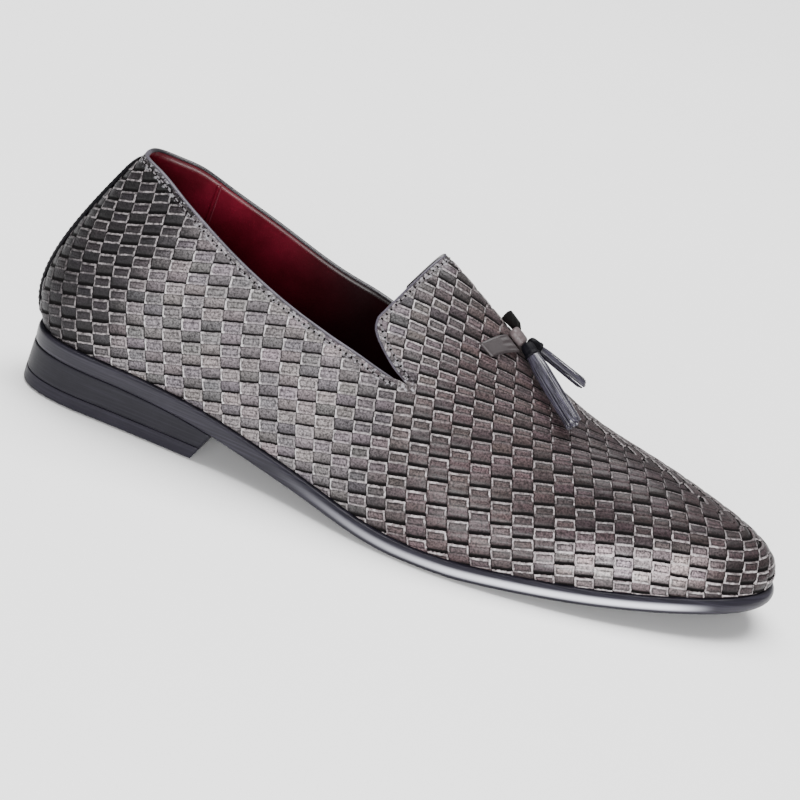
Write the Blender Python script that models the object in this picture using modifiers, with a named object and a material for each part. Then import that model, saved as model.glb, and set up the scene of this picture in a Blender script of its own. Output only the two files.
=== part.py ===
"""Tassel loafer, right shoe, one of a pair.

Toe along +X, outer side along -Y, ground at z = 0. Sizes below are millimetres;
every vertex is scaled to metres where a mesh is made.

The last is described by sections from the heel to the toe. At each section a side
wall rises from the feather line (where upper and sole meet) to the crown line, as
one cubic arc. Both sides share one table: "half" is half the width, "shift" moves
the section towards the inner side.
"""
import math

import bmesh
import bpy
import numpy as np

MM = 0.001
NAME = "tassel_loafer"
ORIGIN = (143.638, -1.271, 0.0)

WALL = 1.8
GAP = 0.32
SOLE_THICKNESS = 6.5
SOLE_REACH = 2.0
INSOLE_THICKNESS = 2.4
INSOLE_INSET = 2.3
TOP_PIECE_HEIGHT = 5.5
BREAST_AT = 71.2
BREAST_LEAN = 0.48
BINDING_RADIUS = 0.85
TAB_CLEAR = 0.5
STRIP_THICKNESS = 0.9
BOW_THICKNESS = 1.6

STATIONS_BACK = 22
STATIONS_FRONT = 27
ROWS_LOW = 6
ROWS_HIGH = 6

NOTCH = 0.492
BINDING_END = 0.455
PEAK = 0.472
CROWN_AT_NOTCH = 0.532

LAST_COLUMNS = (
    "at", "half", "shift", "lift", "crown_at", "gape", "crown_shift", "crown",
    "flare", "rise", "spread", "drop",
)
LAST = (
    ("heel_back",   -5.6,  0.0,  0.0, 23.6,  19.0,  0.0,  0.0, 106.0, 13.0, 17.0, 19.0, 34.0),
    ("heel_turn",   -2.0, 13.0,  0.0, 23.6,  21.0,  8.0,  0.0, 106.0, 12.0, 18.0, 17.0, 33.0),
    ("heel_round",   9.0, 21.2,  0.2, 23.5,  28.0, 13.0,  0.0, 105.5, 10.0, 20.0, 11.0, 31.0),
    ("heel_seat",   32.0, 25.8,  0.7, 23.1,  40.0, 18.0,  0.0, 105.0,  7.0, 25.0,  6.0, 28.0),
    ("breast",      68.0, 28.6, -0.4, 20.5,  68.0, 21.0,  0.0, 104.5,  5.0, 26.0,  3.0, 26.0),
    ("shank",       98.0, 30.5, -3.2, 15.4, 100.0, 17.0,  0.0, 106.0,  6.0, 26.0,  7.0, 22.0),
    ("waist",      124.0, 35.2, -6.2, 11.4, 126.0,  9.0,  0.0, 107.5,  8.0, 24.0, 13.0,  5.0),
    ("instep",     144.0, 40.2, -7.8,  8.3, 145.0,  0.0,  0.0,  99.0,  8.0, 22.0, 17.0,  0.0),
    ("throat",     162.0, 44.9, -6.6,  6.7, 161.0,  0.0,  0.0,  88.4,  8.0, 20.0, 19.0,  0.0),
    ("vamp",       181.0, 48.2, -4.2,  6.7, 177.0,  0.0,  0.0,  77.3,  8.0, 17.0, 20.5,  0.0),
    ("ball_outer", 200.0, 49.2, -1.0,  7.9, 193.0,  0.0,  0.0,  66.2,  7.5, 15.0, 22.0,  0.0),
    ("ball_inner", 220.0, 48.0,  1.9,  9.5, 210.0,  0.0,  0.5,  57.4,  6.0, 13.0, 23.0,  0.0),
    ("toe_root",   240.0, 44.0,  3.7, 11.4, 227.0,  0.0,  1.0,  52.2,  5.0, 12.0, 22.0,  0.0),
    ("toe_box",    258.0, 37.6,  4.6, 13.4, 243.0,  0.0,  1.5,  47.8,  5.0, 11.5, 19.0,  0.0),
    ("toe_turn",   273.5, 30.0,  4.7, 15.4, 256.5,  0.0,  2.0,  43.7,  4.5, 11.0, 16.0,  0.8),
    ("toe_round",  286.0, 21.0,  4.4, 17.1, 266.5,  0.0,  2.2,  40.6,  4.0, 10.5, 14.0,  2.0),
    ("toe_near",   293.2, 11.5,  3.6, 18.1, 273.0,  0.0,  2.3,  38.6,  3.5, 10.5, 12.0,  3.2),
    ("toe_tip",    296.2,  0.0,  3.0, 18.5, 275.5,  0.0,  2.3,  37.9,  3.2, 10.5, 11.0,  3.8),
)
ODD_COLUMNS = ("half", "gape")

# share of the way up the wall where the mouth is cut, on each side
MOUTH = (
    # along  outer  inner
    (0.000, 0.962, 0.960),
    (0.045, 0.960, 0.948),
    (0.090, 0.942, 0.926),
    (0.138, 0.903, 0.897),
    (0.198, 0.820, 0.822),
    (0.247, 0.730, 0.762),
    (0.297, 0.648, 0.696),
    (0.343, 0.578, 0.622),
    (0.385, 0.516, 0.550),
    (0.427, 0.474, 0.504),
    (0.460, 0.468, 0.486),
    (0.492, 0.485, 0.486),
)
SEAM_AT_NOTCH = 0.488
SEAM_AT_TOE = 0.50

# free edge of the tab, from its corner down to the notch
TAB_EDGE = (
    # along   up
    (0.4310, 0.600),
    (0.4330, 0.568),
    (0.4440, 0.537),
    (0.4600, 0.513),
    (0.4760, 0.499),
)
TAB_BOW = 0.007

# outsole edge, from the ground face up: reach beyond the outline, share of thickness
SOLE_EDGE = (
    (-1.7, 0.00),
    (-0.5, 0.06),
    (0.00, 0.22),
    (0.20, 0.50),
    (0.00, 0.78),
    (-0.5, 0.94),
    (-1.3, 1.00),
)
LIFT_EDGE = (
    (-0.7, 0.00),
    (-0.1, 0.08),
    (0.00, 0.50),
    (-0.1, 0.92),
    (-0.7, 1.00),
)
TOP_PIECE_EDGE = (
    (-1.0, 0.00),
    (-0.2, 0.14),
    (0.10, 0.50),
    (0.00, 0.90),
    (-0.6, 1.00),
)
INSOLE_EDGE = (
    (-0.4, 0.00),
    (0.00, 0.25),
    (0.00, 0.75),
    (-0.5, 1.00),
)

# wings of the bow, laid over the vamp: corners given along, up and clear of the skin
NEAR_WING = (
    # along   up   clear
    (0.551, 0.766, 0.6),
    (0.577, 0.925, 0.6),
    (0.602, 0.920, 0.6),
    (0.571, 0.766, 0.6),
)
FAR_WING = (
    (0.555, 0.800, 5.2),
    (0.576, 0.925, 0.7),
    (0.601, 0.920, 0.7),
    (0.577, 0.790, 4.2),
)
KNOT_CENTRE = (175.6, 0.0, 81.6)
KNOT_HALF = (4.3, 3.9, 2.3)
KNOT_PITCH = 34.0

# tassels: crown end, fringe end
TASSEL_OUTER = ((180.7, -2.7, 78.8), (206.8, -16.0, 60.0))
TASSEL_INNER = ((180.7, 2.7, 78.8), (203.4, 15.0, 65.4))
TASSEL = (
    # station      along radius depth
    ("crown",       0.00,  1.3, 0.00),
    ("cap_top",     0.03,  2.2, 0.00),
    ("cap_bottom",  0.17,  2.5, 0.00),
    ("neck",        0.20,  2.2, 0.00),
    ("fringe_top",  0.25,  2.9, 0.12),
    ("fringe",      0.50,  3.1, 0.42),
    ("fringe_low",  0.80,  3.3, 0.50),
    ("ends",        1.00,  3.4, 0.50),
)
STRIPS = 11

MATERIALS = {
    "woven_leather": ((0.30, 0.27, 0.27, 1.0), 0.42),
    "edge_leather": ((0.045, 0.042, 0.055, 1.0), 0.45),
    "sole_leather": ((0.035, 0.032, 0.045, 1.0), 0.38),
    "heel_leather": ((0.030, 0.028, 0.040, 1.0), 0.42),
    "heel_rubber": ((0.050, 0.047, 0.062, 1.0), 0.50),
    "insole_leather": ((0.16, 0.012, 0.022, 1.0), 0.55),
    "bow_leather": ((0.24, 0.20, 0.20, 1.0), 0.40),
    "tassel_leather": ((0.075, 0.070, 0.10, 1.0), 0.30),
}


def clear_scene():
    """Remove what the start-up file holds."""
    for thing in list(bpy.data.objects):
        bpy.data.objects.remove(thing, do_unlink=True)
    for mesh in list(bpy.data.meshes):
        bpy.data.meshes.remove(mesh)


def spline(knots, values, where):
    """Natural cubic spline through the rows of values, one column each."""
    count = len(knots)
    step = np.diff(knots)
    system = np.zeros((count, count))
    right = np.zeros((count, values.shape[1]))
    system[0, 0] = 1.0
    system[-1, -1] = 1.0
    for i in range(1, count - 1):
        system[i, i - 1] = step[i - 1]
        system[i, i] = 2.0 * (step[i - 1] + step[i])
        system[i, i + 1] = step[i]
        after = (values[i + 1] - values[i]) / step[i]
        before = (values[i] - values[i - 1]) / step[i - 1]
        right[i] = 6.0 * (after - before)
    bend = np.linalg.solve(system, right)
    where = np.atleast_1d(np.asarray(where, float))
    k = np.clip(np.searchsorted(knots, where, side="right") - 1, 0, count - 2)
    low = (knots[k + 1] - where)[:, None]
    high = (where - knots[k])[:, None]
    width = step[k][:, None]
    curve = (bend[k] * low**3 + bend[k + 1] * high**3) / (6.0 * width)
    line = (values[k] / width - bend[k] * width / 6.0) * low
    line = line + (values[k + 1] / width - bend[k + 1] * width / 6.0) * high
    return curve + line


def mirrored(knots, values, odd):
    """Repeat a table beyond heel and toe, so that both sides meet smoothly there."""
    sign = np.where(odd, -1.0, 1.0)
    before = values[1:][::-1] * sign
    after = values[:-1][::-1] * sign
    spots = np.concatenate([-knots[1:][::-1], knots, 2.0 - knots[:-1][::-1]])
    return spots, np.vstack([before, values, after])


def smooth_step(start, end, value):
    """Ease from 0 at start to 1 at end."""
    share = np.clip((value - start) / (end - start), 0.0, 1.0)
    return share * share * (3.0 - 2.0 * share)


def last_knots():
    """Spread the sections along 0..1 by the length of the outline between them."""
    table = np.array([row[1:] for row in LAST], float)
    step = np.hypot(np.diff(table[:, 0]), np.diff(table[:, 1]))
    knots = np.concatenate([[0.0], np.cumsum(step)])
    return knots / knots[-1], table


KNOTS, TABLE = last_knots()
LAST_SPOTS, LAST_VALUES = mirrored(KNOTS, TABLE, np.isin(LAST_COLUMNS, ODD_COLUMNS))
MOUTH_TABLE = np.array(MOUTH, float)
MOUTH_SPOTS, MOUTH_VALUES = mirrored(
    MOUTH_TABLE[:, 0], MOUTH_TABLE[:, 1:], np.array([False, False])
)


def section(along):
    """Columns of the last at the given places between heel (0) and toe (1)."""
    along = np.atleast_1d(along)
    columns = dict(zip(LAST_COLUMNS, spline(LAST_SPOTS, LAST_VALUES, along).T))
    closed = smooth_step(0.38, PEAK, np.abs(along))
    columns["gape"] = columns["gape"] * (1.0 - closed)
    return columns


def skin(side, along, up):
    """Points of the outer skin; side 1 is the outer side, -1 the inner one."""
    along, up = np.broadcast_arrays(np.asarray(along, float), np.asarray(up, float))
    shape = along.shape
    row = section(along.ravel())
    t = up.ravel()[:, None]
    foot = np.column_stack([row["at"], -side * row["half"] + row["shift"]])
    crown = np.column_stack([row["crown_at"], -side * row["gape"] + row["crown_shift"]])
    out = foot - crown
    out = out / np.maximum(np.linalg.norm(out, axis=1, keepdims=True), 1e-9)
    start = np.column_stack([foot, row["lift"]])
    end = np.column_stack([crown, row["crown"]])
    low = np.column_stack([foot + out * row["flare"][:, None], row["lift"] + row["rise"]])
    high = np.column_stack([crown + out * row["spread"][:, None], row["crown"] - row["drop"]])
    points = start * (1 - t) ** 3 + 3 * low * t * (1 - t) ** 2
    points = points + 3 * high * t**2 * (1 - t) + end * t**3
    return points.reshape(shape + (3,))


def skin_normal(side, along, up):
    """Outward unit normals of the skin."""
    step = 1e-3
    ahead = skin(side, np.asarray(along) + step, up) - skin(side, np.asarray(along) - step, up)
    high = np.minimum(np.asarray(up, float) + step, 1.0)
    rise = skin(side, along, high) - skin(side, along, np.asarray(up, float) - step)
    out = np.cross(ahead, rise) * side
    return out / np.linalg.norm(out, axis=-1, keepdims=True)


def mouth(side, along):
    """Share of the way up at which the mouth is cut."""
    column = 0 if side > 0 else 1
    return spline(MOUTH_SPOTS, MOUTH_VALUES, along)[:, column]


def outline(side, along, reach):
    """Plan of the feather line, moved outwards by reach."""
    step = 1e-4
    along = np.asarray(along, float)
    here = skin(side, along, 0.0)[:, :2]
    tangent = skin(side, along + step, 0.0)[:, :2] - skin(side, along - step, 0.0)[:, :2]
    tangent = tangent / np.linalg.norm(tangent, axis=1, keepdims=True)
    out = side * np.column_stack([tangent[:, 1], -tangent[:, 0]])
    return here + out * reach


def sole_top(along):
    """Height of the face of the outsole that the upper rests on."""
    return section(along)["lift"] - GAP


def sole_bottom(along):
    """Height of the underside of the outsole; flat on the ground at the ball."""
    return np.maximum(sole_top(along) - SOLE_THICKNESS, 0.0)


def make_mesh(name, points, faces, material, collection):
    """Make one object from points in millimetres."""
    scaled = (np.asarray(points, float) - np.array(ORIGIN)) * MM
    mesh = bpy.data.meshes.new(name)
    mesh.from_pydata([tuple(p) for p in scaled], [], [tuple(int(i) for i in f) for f in faces])
    mesh.validate()
    work = bmesh.new()
    work.from_mesh(mesh)
    bmesh.ops.recalc_face_normals(work, faces=work.faces)
    work.to_mesh(mesh)
    work.free()
    mesh.polygons.foreach_set("use_smooth", [True] * len(mesh.polygons))
    mesh.materials.append(material)
    thing = bpy.data.objects.new(name, mesh)
    collection.objects.link(thing)
    return thing


def flip_if_inward(thing, out_point, out_direction):
    """Turn an open sheet so that its faces look the way its wall grows from."""
    mesh = thing.data
    spot = (np.array(out_point) - np.array(ORIGIN)) * MM
    nearest = min(mesh.polygons, key=lambda face: (np.array(face.center) - spot).dot(np.array(face.center) - spot))
    if np.dot(np.array(nearest.normal), out_direction) < 0.0:
        mesh.flip_normals()


def add_solidify(thing, thickness, offset):
    """Give an open sheet its wall."""
    wall = thing.modifiers.new("wall", "SOLIDIFY")
    wall.thickness = thickness * MM
    wall.offset = offset
    wall.use_even_offset = True
    wall.use_quality_normals = True
    wall.use_rim = True
    return wall


def grid_faces(grid, closed=False):
    """Quads between the neighbouring entries of a grid of vertex numbers."""
    faces = []
    rows = len(grid)
    last = rows if closed else rows - 1
    for i in range(last):
        after = grid[(i + 1) % rows]
        for j in range(len(grid[i]) - 1):
            corners = (grid[i][j], after[j], after[j + 1], grid[i][j + 1])
            kept = tuple(dict.fromkeys(corners))
            if len(kept) > 2:
                faces.append(kept)
    return faces


def ring_solid(rings, name, material, collection):
    """Close a stack of rings; each ring runs heel, outer side, front, inner side."""
    count = len(rings[0])
    points = np.vstack(rings)
    faces = []
    for level in range(len(rings) - 1):
        low = level * count
        high = low + count
        for i in range(count):
            after = (i + 1) % count
            faces.append((low + i, low + after, high + after, high + i))
    for start in (0, (len(rings) - 1) * count):
        faces.append((start, start + 1, start + count - 1))
        i = 1
        while i + 1 < count - i - 1:
            faces.append((start + i, start + i + 1, start + count - i - 1, start + count - i))
            i += 1
        if i + 1 == count - i - 1:
            faces.append((start + i, start + i + 1, start + count - i))
    return make_mesh(name, points, faces, material, collection)


def full_ring(reach, height, stations):
    """One ring right round the shoe at the given reach and height."""
    outer = np.column_stack([outline(1, stations, reach), height(stations)])
    inner = np.column_stack([outline(-1, stations[1:-1], reach), height(stations[1:-1])])
    return np.vstack([outer, inner[::-1]])


def stations():
    """Places of the upper's columns, closer together where the outline turns."""
    back = NOTCH * np.linspace(0.0, 1.0, STATIONS_BACK + 1) ** 1.12
    front = NOTCH + (1.0 - NOTCH) * (1.0 - np.linspace(1.0, 0.0, STATIONS_FRONT + 1) ** 1.12)
    return np.concatenate([back, front[1:]])


def add_upper(material, collection):
    """Whole-cut upper: one wall open at the mouth and under the foot."""
    along = stations()
    notch = STATIONS_BACK
    past = (along - NOTCH) / (1.0 - NOTCH)
    seam = SEAM_AT_NOTCH + (SEAM_AT_TOE - SEAM_AT_NOTCH) * past
    points = []
    low = {}
    high = {}

    def put(point):
        points.append(point)
        return len(points) - 1

    for side in (1, -1):
        top = np.where(along < NOTCH - 1e-6, mouth(side, np.minimum(along, NOTCH)), seam)
        blend = smooth_step(NOTCH - 0.03, NOTCH, along)
        top = top * (1.0 - blend) + seam * blend
        grid = []
        for i, spot in enumerate(along):
            shared = side < 0 and i in (0, len(along) - 1)
            if shared:
                grid.append(low[1][i])
                continue
            ups = top[i] * np.linspace(0.0, 1.0, ROWS_LOW + 1)
            grid.append([put(p) for p in skin(side, np.full(len(ups), spot), ups)])
        low[side] = grid

    edge = np.array(TAB_EDGE)
    foot_along = np.concatenate([edge[:, 0], along[notch:]])
    foot_up = np.concatenate([edge[:, 1], seam[notch:]])
    tab = len(edge)
    crown_tab = PEAK + (CROWN_AT_NOTCH - PEAK) * np.arange(tab) / tab
    lead = (CROWN_AT_NOTCH - NOTCH) * (1.0 - smooth_step(NOTCH, 0.68, along[notch:]))
    crown_along = np.concatenate([crown_tab, along[notch:] + lead])
    bow = 4.0 * TAB_BOW * np.maximum(1.0 - np.arange(len(foot_along)) / tab, 0.0)
    shares = np.linspace(0.0, 1.0, ROWS_HIGH + 1)
    for side in (1, -1):
        grid = []
        for k in range(len(foot_along)):
            if side < 0 and k == len(foot_along) - 1:
                grid.append(high[1][k])
                continue
            line = []
            for j, share in enumerate(shares):
                if j == 0 and k >= tab:
                    line.append(low[side][notch + k - tab][-1])
                    continue
                if side < 0 and j == ROWS_HIGH:
                    line.append(high[1][k][-1])
                    continue
                spot = foot_along[k] * (1.0 - share) + crown_along[k] * share
                spot += bow[k] * share * (1.0 - share)
                up = foot_up[k] * (1.0 - share) + share
                line.append(put(skin(side, np.array([spot]), np.array([up]))[0]))
            grid.append(line)
        high[side] = grid

    faces = []
    for side in (1, -1):
        for grid in (low[side], high[side]):
            faces += grid_faces(grid)
    upper = make_mesh("upper", points, faces, material, collection)
    flip_if_inward(upper, skin(1, 0.6, 0.3), (0.0, -1.0, 0.0))
    add_solidify(upper, WALL, -1.0)
    return upper


def add_outsole(material, collection):
    """Outsole, one board from heel to toe with a rounded edge."""
    spots = stations()
    rings = []
    for reach, share in SOLE_EDGE:
        def height(s, share=share):
            return sole_bottom(s) * (1.0 - share) + sole_top(s) * share
        rings.append(full_ring(SOLE_REACH + reach, height, spots))
    return ring_solid(rings, "outsole", material, collection)


def add_insole(material, collection):
    """Insole board inside the upper, resting above the outsole."""
    spots = stations()
    rings = []
    for reach, share in INSOLE_EDGE:
        def height(s, share=share):
            return sole_top(s) + GAP + INSOLE_THICKNESS * share
        rings.append(full_ring(reach - INSOLE_INSET, height, spots))
    return ring_solid(rings, "insole", material, collection)


def heel_ring(reach, share, low, high, steps):
    """Ring of the heel block, cut off at the leaning breast."""
    probe = np.linspace(0.18, 0.34, 161)
    sides = []
    for side in (1, -1):
        plan = outline(side, probe, reach)
        level = low(probe) * (1.0 - share) + high(probe) * share
        past = plan[:, 0] - (BREAST_AT + BREAST_LEAN * level)
        cut = np.interp(0.0, past, probe)
        spots = cut * np.linspace(0.0, 1.0, steps + 1)
        level = low(spots) * (1.0 - share) + high(spots) * share
        sides.append(np.column_stack([outline(side, spots, reach), level]))
    return np.vstack([sides[0], sides[1][1:][::-1]])


def add_heel(materials, collection):
    """Heel block and the piece below it that meets the ground."""
    def ground(s):
        return np.zeros(len(s))

    def piece_top(s):
        return np.full(len(s), TOP_PIECE_HEIGHT)

    def block_bottom(s):
        return np.full(len(s), TOP_PIECE_HEIGHT + GAP)

    def block_top(s):
        return sole_bottom(s) - GAP

    block = [heel_ring(1.5 + r, share, block_bottom, block_top, 18) for r, share in LIFT_EDGE]
    piece = [heel_ring(1.8 + r, share, ground, piece_top, 18) for r, share in TOP_PIECE_EDGE]
    ring_solid(block, "heel_lift", materials["heel_leather"], collection)
    ring_solid(piece, "top_piece", materials["heel_rubber"], collection)


def add_cord(name, path, radius, material, collection):
    """Round cord along a path, both ends filled."""
    curve = bpy.data.curves.new(name, "CURVE")
    curve.dimensions = "3D"
    curve.bevel_depth = radius * MM
    curve.bevel_resolution = 1
    curve.render_resolution_u = 0
    curve.use_fill_caps = True
    line = curve.splines.new("POLY")
    line.points.add(len(path) - 1)
    for point, spot in zip(line.points, path):
        place = (np.asarray(spot) - np.array(ORIGIN)) * MM
        point.co = (place[0], place[1], place[2], 1.0)
    curve.materials.append(material)
    thing = bpy.data.objects.new(name, curve)
    collection.objects.link(thing)
    return thing


def beside_edge(points, normals, sign, clear):
    """Move an edge path off the rim, level with the middle of the wall."""
    run = np.gradient(points, axis=0)
    run = run / np.linalg.norm(run, axis=1, keepdims=True)
    away = sign * np.cross(run, normals)
    away = away / np.linalg.norm(away, axis=1, keepdims=True)
    return points - normals * (WALL / 2.0) + away * clear


def add_bindings(material, collection):
    """Bindings: one round the mouth, one over the free edge of the tab."""
    spots = BINDING_END * np.linspace(1.0, 0.0, 27) ** 1.1
    outer = skin(1, spots, mouth(1, spots))
    inner = skin(-1, spots[:-1][::-1], mouth(-1, spots[:-1][::-1]))
    outer_out = skin_normal(1, spots, mouth(1, spots))
    inner_out = skin_normal(-1, spots[:-1][::-1], mouth(-1, spots[:-1][::-1]))
    path = beside_edge(
        np.vstack([outer, inner]), np.vstack([outer_out, inner_out]), 1.0, GAP + BINDING_RADIUS
    )
    add_cord("mouth_binding", path, BINDING_RADIUS, material, collection)

    edge = np.array(TAB_EDGE[:2])[::-1]
    climb = np.linspace(0.0, 1.0, 9)[1:]
    corner = np.array(TAB_EDGE[0])
    top = corner[None, :] * (1.0 - climb[:, None]) + np.array([PEAK, 1.0])[None, :] * climb[:, None]
    top[:, 0] += 4.0 * TAB_BOW * climb * (1.0 - climb)
    side_path = np.vstack([edge, top])
    up_points = skin(1, side_path[:, 0], side_path[:, 1])
    up_out = skin_normal(1, side_path[:, 0], side_path[:, 1])
    down = side_path[:-1][::-1]
    down_points = skin(-1, down[:, 0], down[:, 1])
    down_out = skin_normal(-1, down[:, 0], down[:, 1])
    path = beside_edge(
        np.vstack([up_points, down_points]), np.vstack([up_out, down_out]), -1.0,
        TAB_CLEAR + BINDING_RADIUS,
    )
    add_cord("tab_binding", path, BINDING_RADIUS, material, collection)


def add_back_strip(material, collection):
    """Narrow strip over the seam down the back of the heel."""
    ups = np.linspace(0.03, 0.925, 13)
    across = (0.014, 0.007, 0.0, -0.007, -0.014)
    points = []
    grid = []
    for place in across:
        side = 1 if place >= 0.0 else -1
        spot = np.full(len(ups), abs(place))
        line = skin(side, spot, ups) + skin_normal(side, spot, ups) * GAP
        grid.append(list(range(len(points), len(points) + len(ups))))
        points += list(line)
    strip = make_mesh("back_strip", points, grid_faces(grid), material, collection)
    flip_if_inward(strip, skin(1, 0.0, 0.5), (-1.0, 0.0, 0.0))
    add_solidify(strip, STRIP_THICKNESS, 1.0)
    return strip


def add_wing(name, side, corners, material, collection):
    """Flat wing of the bow, between four corners on or above the skin."""
    corners = np.array(corners)
    points = []
    grid = []
    for u in np.linspace(0.0, 1.0, 7):
        line = []
        for v in np.linspace(0.0, 1.0, 4):
            near = corners[0] * (1.0 - v) + corners[3] * v
            far = corners[1] * (1.0 - v) + corners[2] * v
            spot = near * (1.0 - u) + far * u
            place = skin(side, spot[0], spot[1]) + skin_normal(side, spot[0], spot[1]) * spot[2]
            line.append(len(points))
            points.append(place)
        grid.append(line)
    wing = make_mesh(name, points, grid_faces(grid), material, collection)
    middle = points[len(points) // 2]
    flip_if_inward(wing, middle, (0.3, 0.0, 1.0))
    add_solidify(wing, BOW_THICKNESS, 1.0)
    return wing


def add_knot(material, collection):
    """Wrap round the middle of the bow, a rounded block."""
    turn = math.radians(KNOT_PITCH)
    round_, high = 16, 9
    points = [(0.0, 0.0, -KNOT_HALF[2])]
    grid = []
    for j in range(1, high - 1):
        lift = -math.pi / 2 + math.pi * j / (high - 1)
        line = []
        for i in range(round_):
            a = 2.0 * math.pi * i / round_
            flat = abs(math.cos(lift)) ** 0.55
            x = math.copysign(abs(math.cos(a)) ** 0.55, math.cos(a)) * flat * KNOT_HALF[0]
            y = math.copysign(abs(math.sin(a)) ** 0.55, math.sin(a)) * flat * KNOT_HALF[1]
            z = math.copysign(abs(math.sin(lift)) ** 0.7, math.sin(lift)) * KNOT_HALF[2]
            line.append(len(points))
            points.append((x, y, z))
        grid.append(line)
    points.append((0.0, 0.0, KNOT_HALF[2]))
    faces = []
    for j in range(len(grid) - 1):
        for i in range(round_):
            after = (i + 1) % round_
            faces.append((grid[j][i], grid[j][after], grid[j + 1][after], grid[j + 1][i]))
    for i in range(round_):
        after = (i + 1) % round_
        faces.append((0, grid[0][after], grid[0][i]))
        faces.append((len(points) - 1, grid[-1][i], grid[-1][after]))
    local = np.array(points)
    x = local[:, 0] * math.cos(turn) + local[:, 2] * math.sin(turn)
    z = -local[:, 0] * math.sin(turn) + local[:, 2] * math.cos(turn)
    placed = np.column_stack([x, local[:, 1], z]) + np.array(KNOT_CENTRE)
    return make_mesh("bow_knot", placed, faces, material, collection)


def add_tassel(name, ends, seed, material, collection):
    """Tassel: cap and a fringe of strips, all one solid."""
    start = np.array(ends[0], float)
    axis = np.array(ends[1], float) - start
    length = np.linalg.norm(axis)
    axis = axis / length
    beside = np.cross(axis, (0.0, 0.0, 1.0))
    beside = beside / np.linalg.norm(beside)
    above = np.cross(beside, axis)
    sector = 2.0 * math.pi / STRIPS
    points = []
    grid = []
    for _, along, radius, depth in TASSEL:
        line = []
        for strip in range(STRIPS):
            tip = 0.7 * math.sin(2.4 * strip + seed) * smooth_step(0.5, 1.0, along)
            centre = start + axis * (length * along + tip)
            for turn, share in ((0.0, 1.0 - depth), (0.13, 1.0), (0.5, 1.03), (0.87, 1.0)):
                a = sector * (strip + turn)
                out = beside * math.cos(a) + above * math.sin(a)
                line.append(len(points))
                points.append(centre + out * radius * share)
        grid.append(line)
    count = len(grid[0])
    faces = []
    for j in range(len(grid) - 1):
        for i in range(count):
            after = (i + 1) % count
            faces.append((grid[j][i], grid[j][after], grid[j + 1][after], grid[j + 1][i]))
    for line, place in ((grid[0], start - axis * 0.3), (grid[-1], start + axis * length)):
        centre = len(points)
        points.append(place)
        for i in range(count):
            faces.append((centre, line[i], line[(i + 1) % count]))
    return make_mesh(name, points, faces, material, collection)


def make_materials():
    """One plain material for each slot."""
    made = {}
    for name, (colour, roughness) in MATERIALS.items():
        material = bpy.data.materials.new(name)
        material.use_nodes = True
        shader = material.node_tree.nodes["Principled BSDF"]
        shader.inputs["Base Color"].default_value = colour
        shader.inputs["Roughness"].default_value = roughness
        made[name] = material
    return made


def main():
    """Build the shoe."""
    clear_scene()
    collection = bpy.data.collections.new(NAME)
    bpy.context.scene.collection.children.link(collection)
    materials = make_materials()
    add_upper(materials["woven_leather"], collection)
    add_outsole(materials["sole_leather"], collection)
    add_insole(materials["insole_leather"], collection)
    add_heel(materials, collection)
    add_bindings(materials["edge_leather"], collection)
    add_back_strip(materials["edge_leather"], collection)
    add_wing("bow_wing_outer", 1, NEAR_WING, materials["bow_leather"], collection)
    add_wing("bow_wing_inner", -1, FAR_WING, materials["bow_leather"], collection)
    add_knot(materials["bow_leather"], collection)
    add_tassel("tassel_outer", TASSEL_OUTER, 0.0, materials["tassel_leather"], collection)
    add_tassel("tassel_inner", TASSEL_INNER, 1.7, materials["tassel_leather"], collection)


main()
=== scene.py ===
"""Tassel loafer, right shoe: the finished look of the part.

Toe along +X, outer side along -Y, ground at z = 0. Shapes are worked out in
millimetres on one last, described by sections from heel to toe, and scaled to
metres where a mesh is made. A place on the upper is given by "along" (0 at the
heel, 1 at the toe) and "up" (0 at the feather line, 1 at the crown line).
"""
from __future__ import annotations

import logging
import math
from dataclasses import dataclass, field
from enum import Enum
from typing import Callable, Sequence

import bpy
import numpy as np
from mathutils import Matrix, Vector

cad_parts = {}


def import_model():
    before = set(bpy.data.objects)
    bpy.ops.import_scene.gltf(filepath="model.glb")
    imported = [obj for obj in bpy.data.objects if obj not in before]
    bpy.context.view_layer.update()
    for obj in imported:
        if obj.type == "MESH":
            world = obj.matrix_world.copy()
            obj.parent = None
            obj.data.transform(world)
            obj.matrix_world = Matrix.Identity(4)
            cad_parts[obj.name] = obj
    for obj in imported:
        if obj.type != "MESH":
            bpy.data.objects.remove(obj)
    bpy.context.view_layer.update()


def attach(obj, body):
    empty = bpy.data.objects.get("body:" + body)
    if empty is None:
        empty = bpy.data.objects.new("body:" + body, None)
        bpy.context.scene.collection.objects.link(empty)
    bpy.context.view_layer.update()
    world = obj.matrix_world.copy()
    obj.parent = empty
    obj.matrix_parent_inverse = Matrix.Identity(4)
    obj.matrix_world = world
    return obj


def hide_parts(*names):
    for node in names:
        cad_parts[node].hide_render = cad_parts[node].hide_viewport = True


LOG = logging.getLogger("loafer")
MM = 0.001
ORIGIN = np.array([143.638, -1.271, 0.0])
BODY = "root"
CELL_LONG = 8.5
CELL_HIGH = 3.95
WELD = 2e-4

Colour = tuple[float, float, float]
Edge = tuple[tuple[float | np.ndarray, float], ...]
Corners = tuple[tuple[float, float, float], ...]

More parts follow.
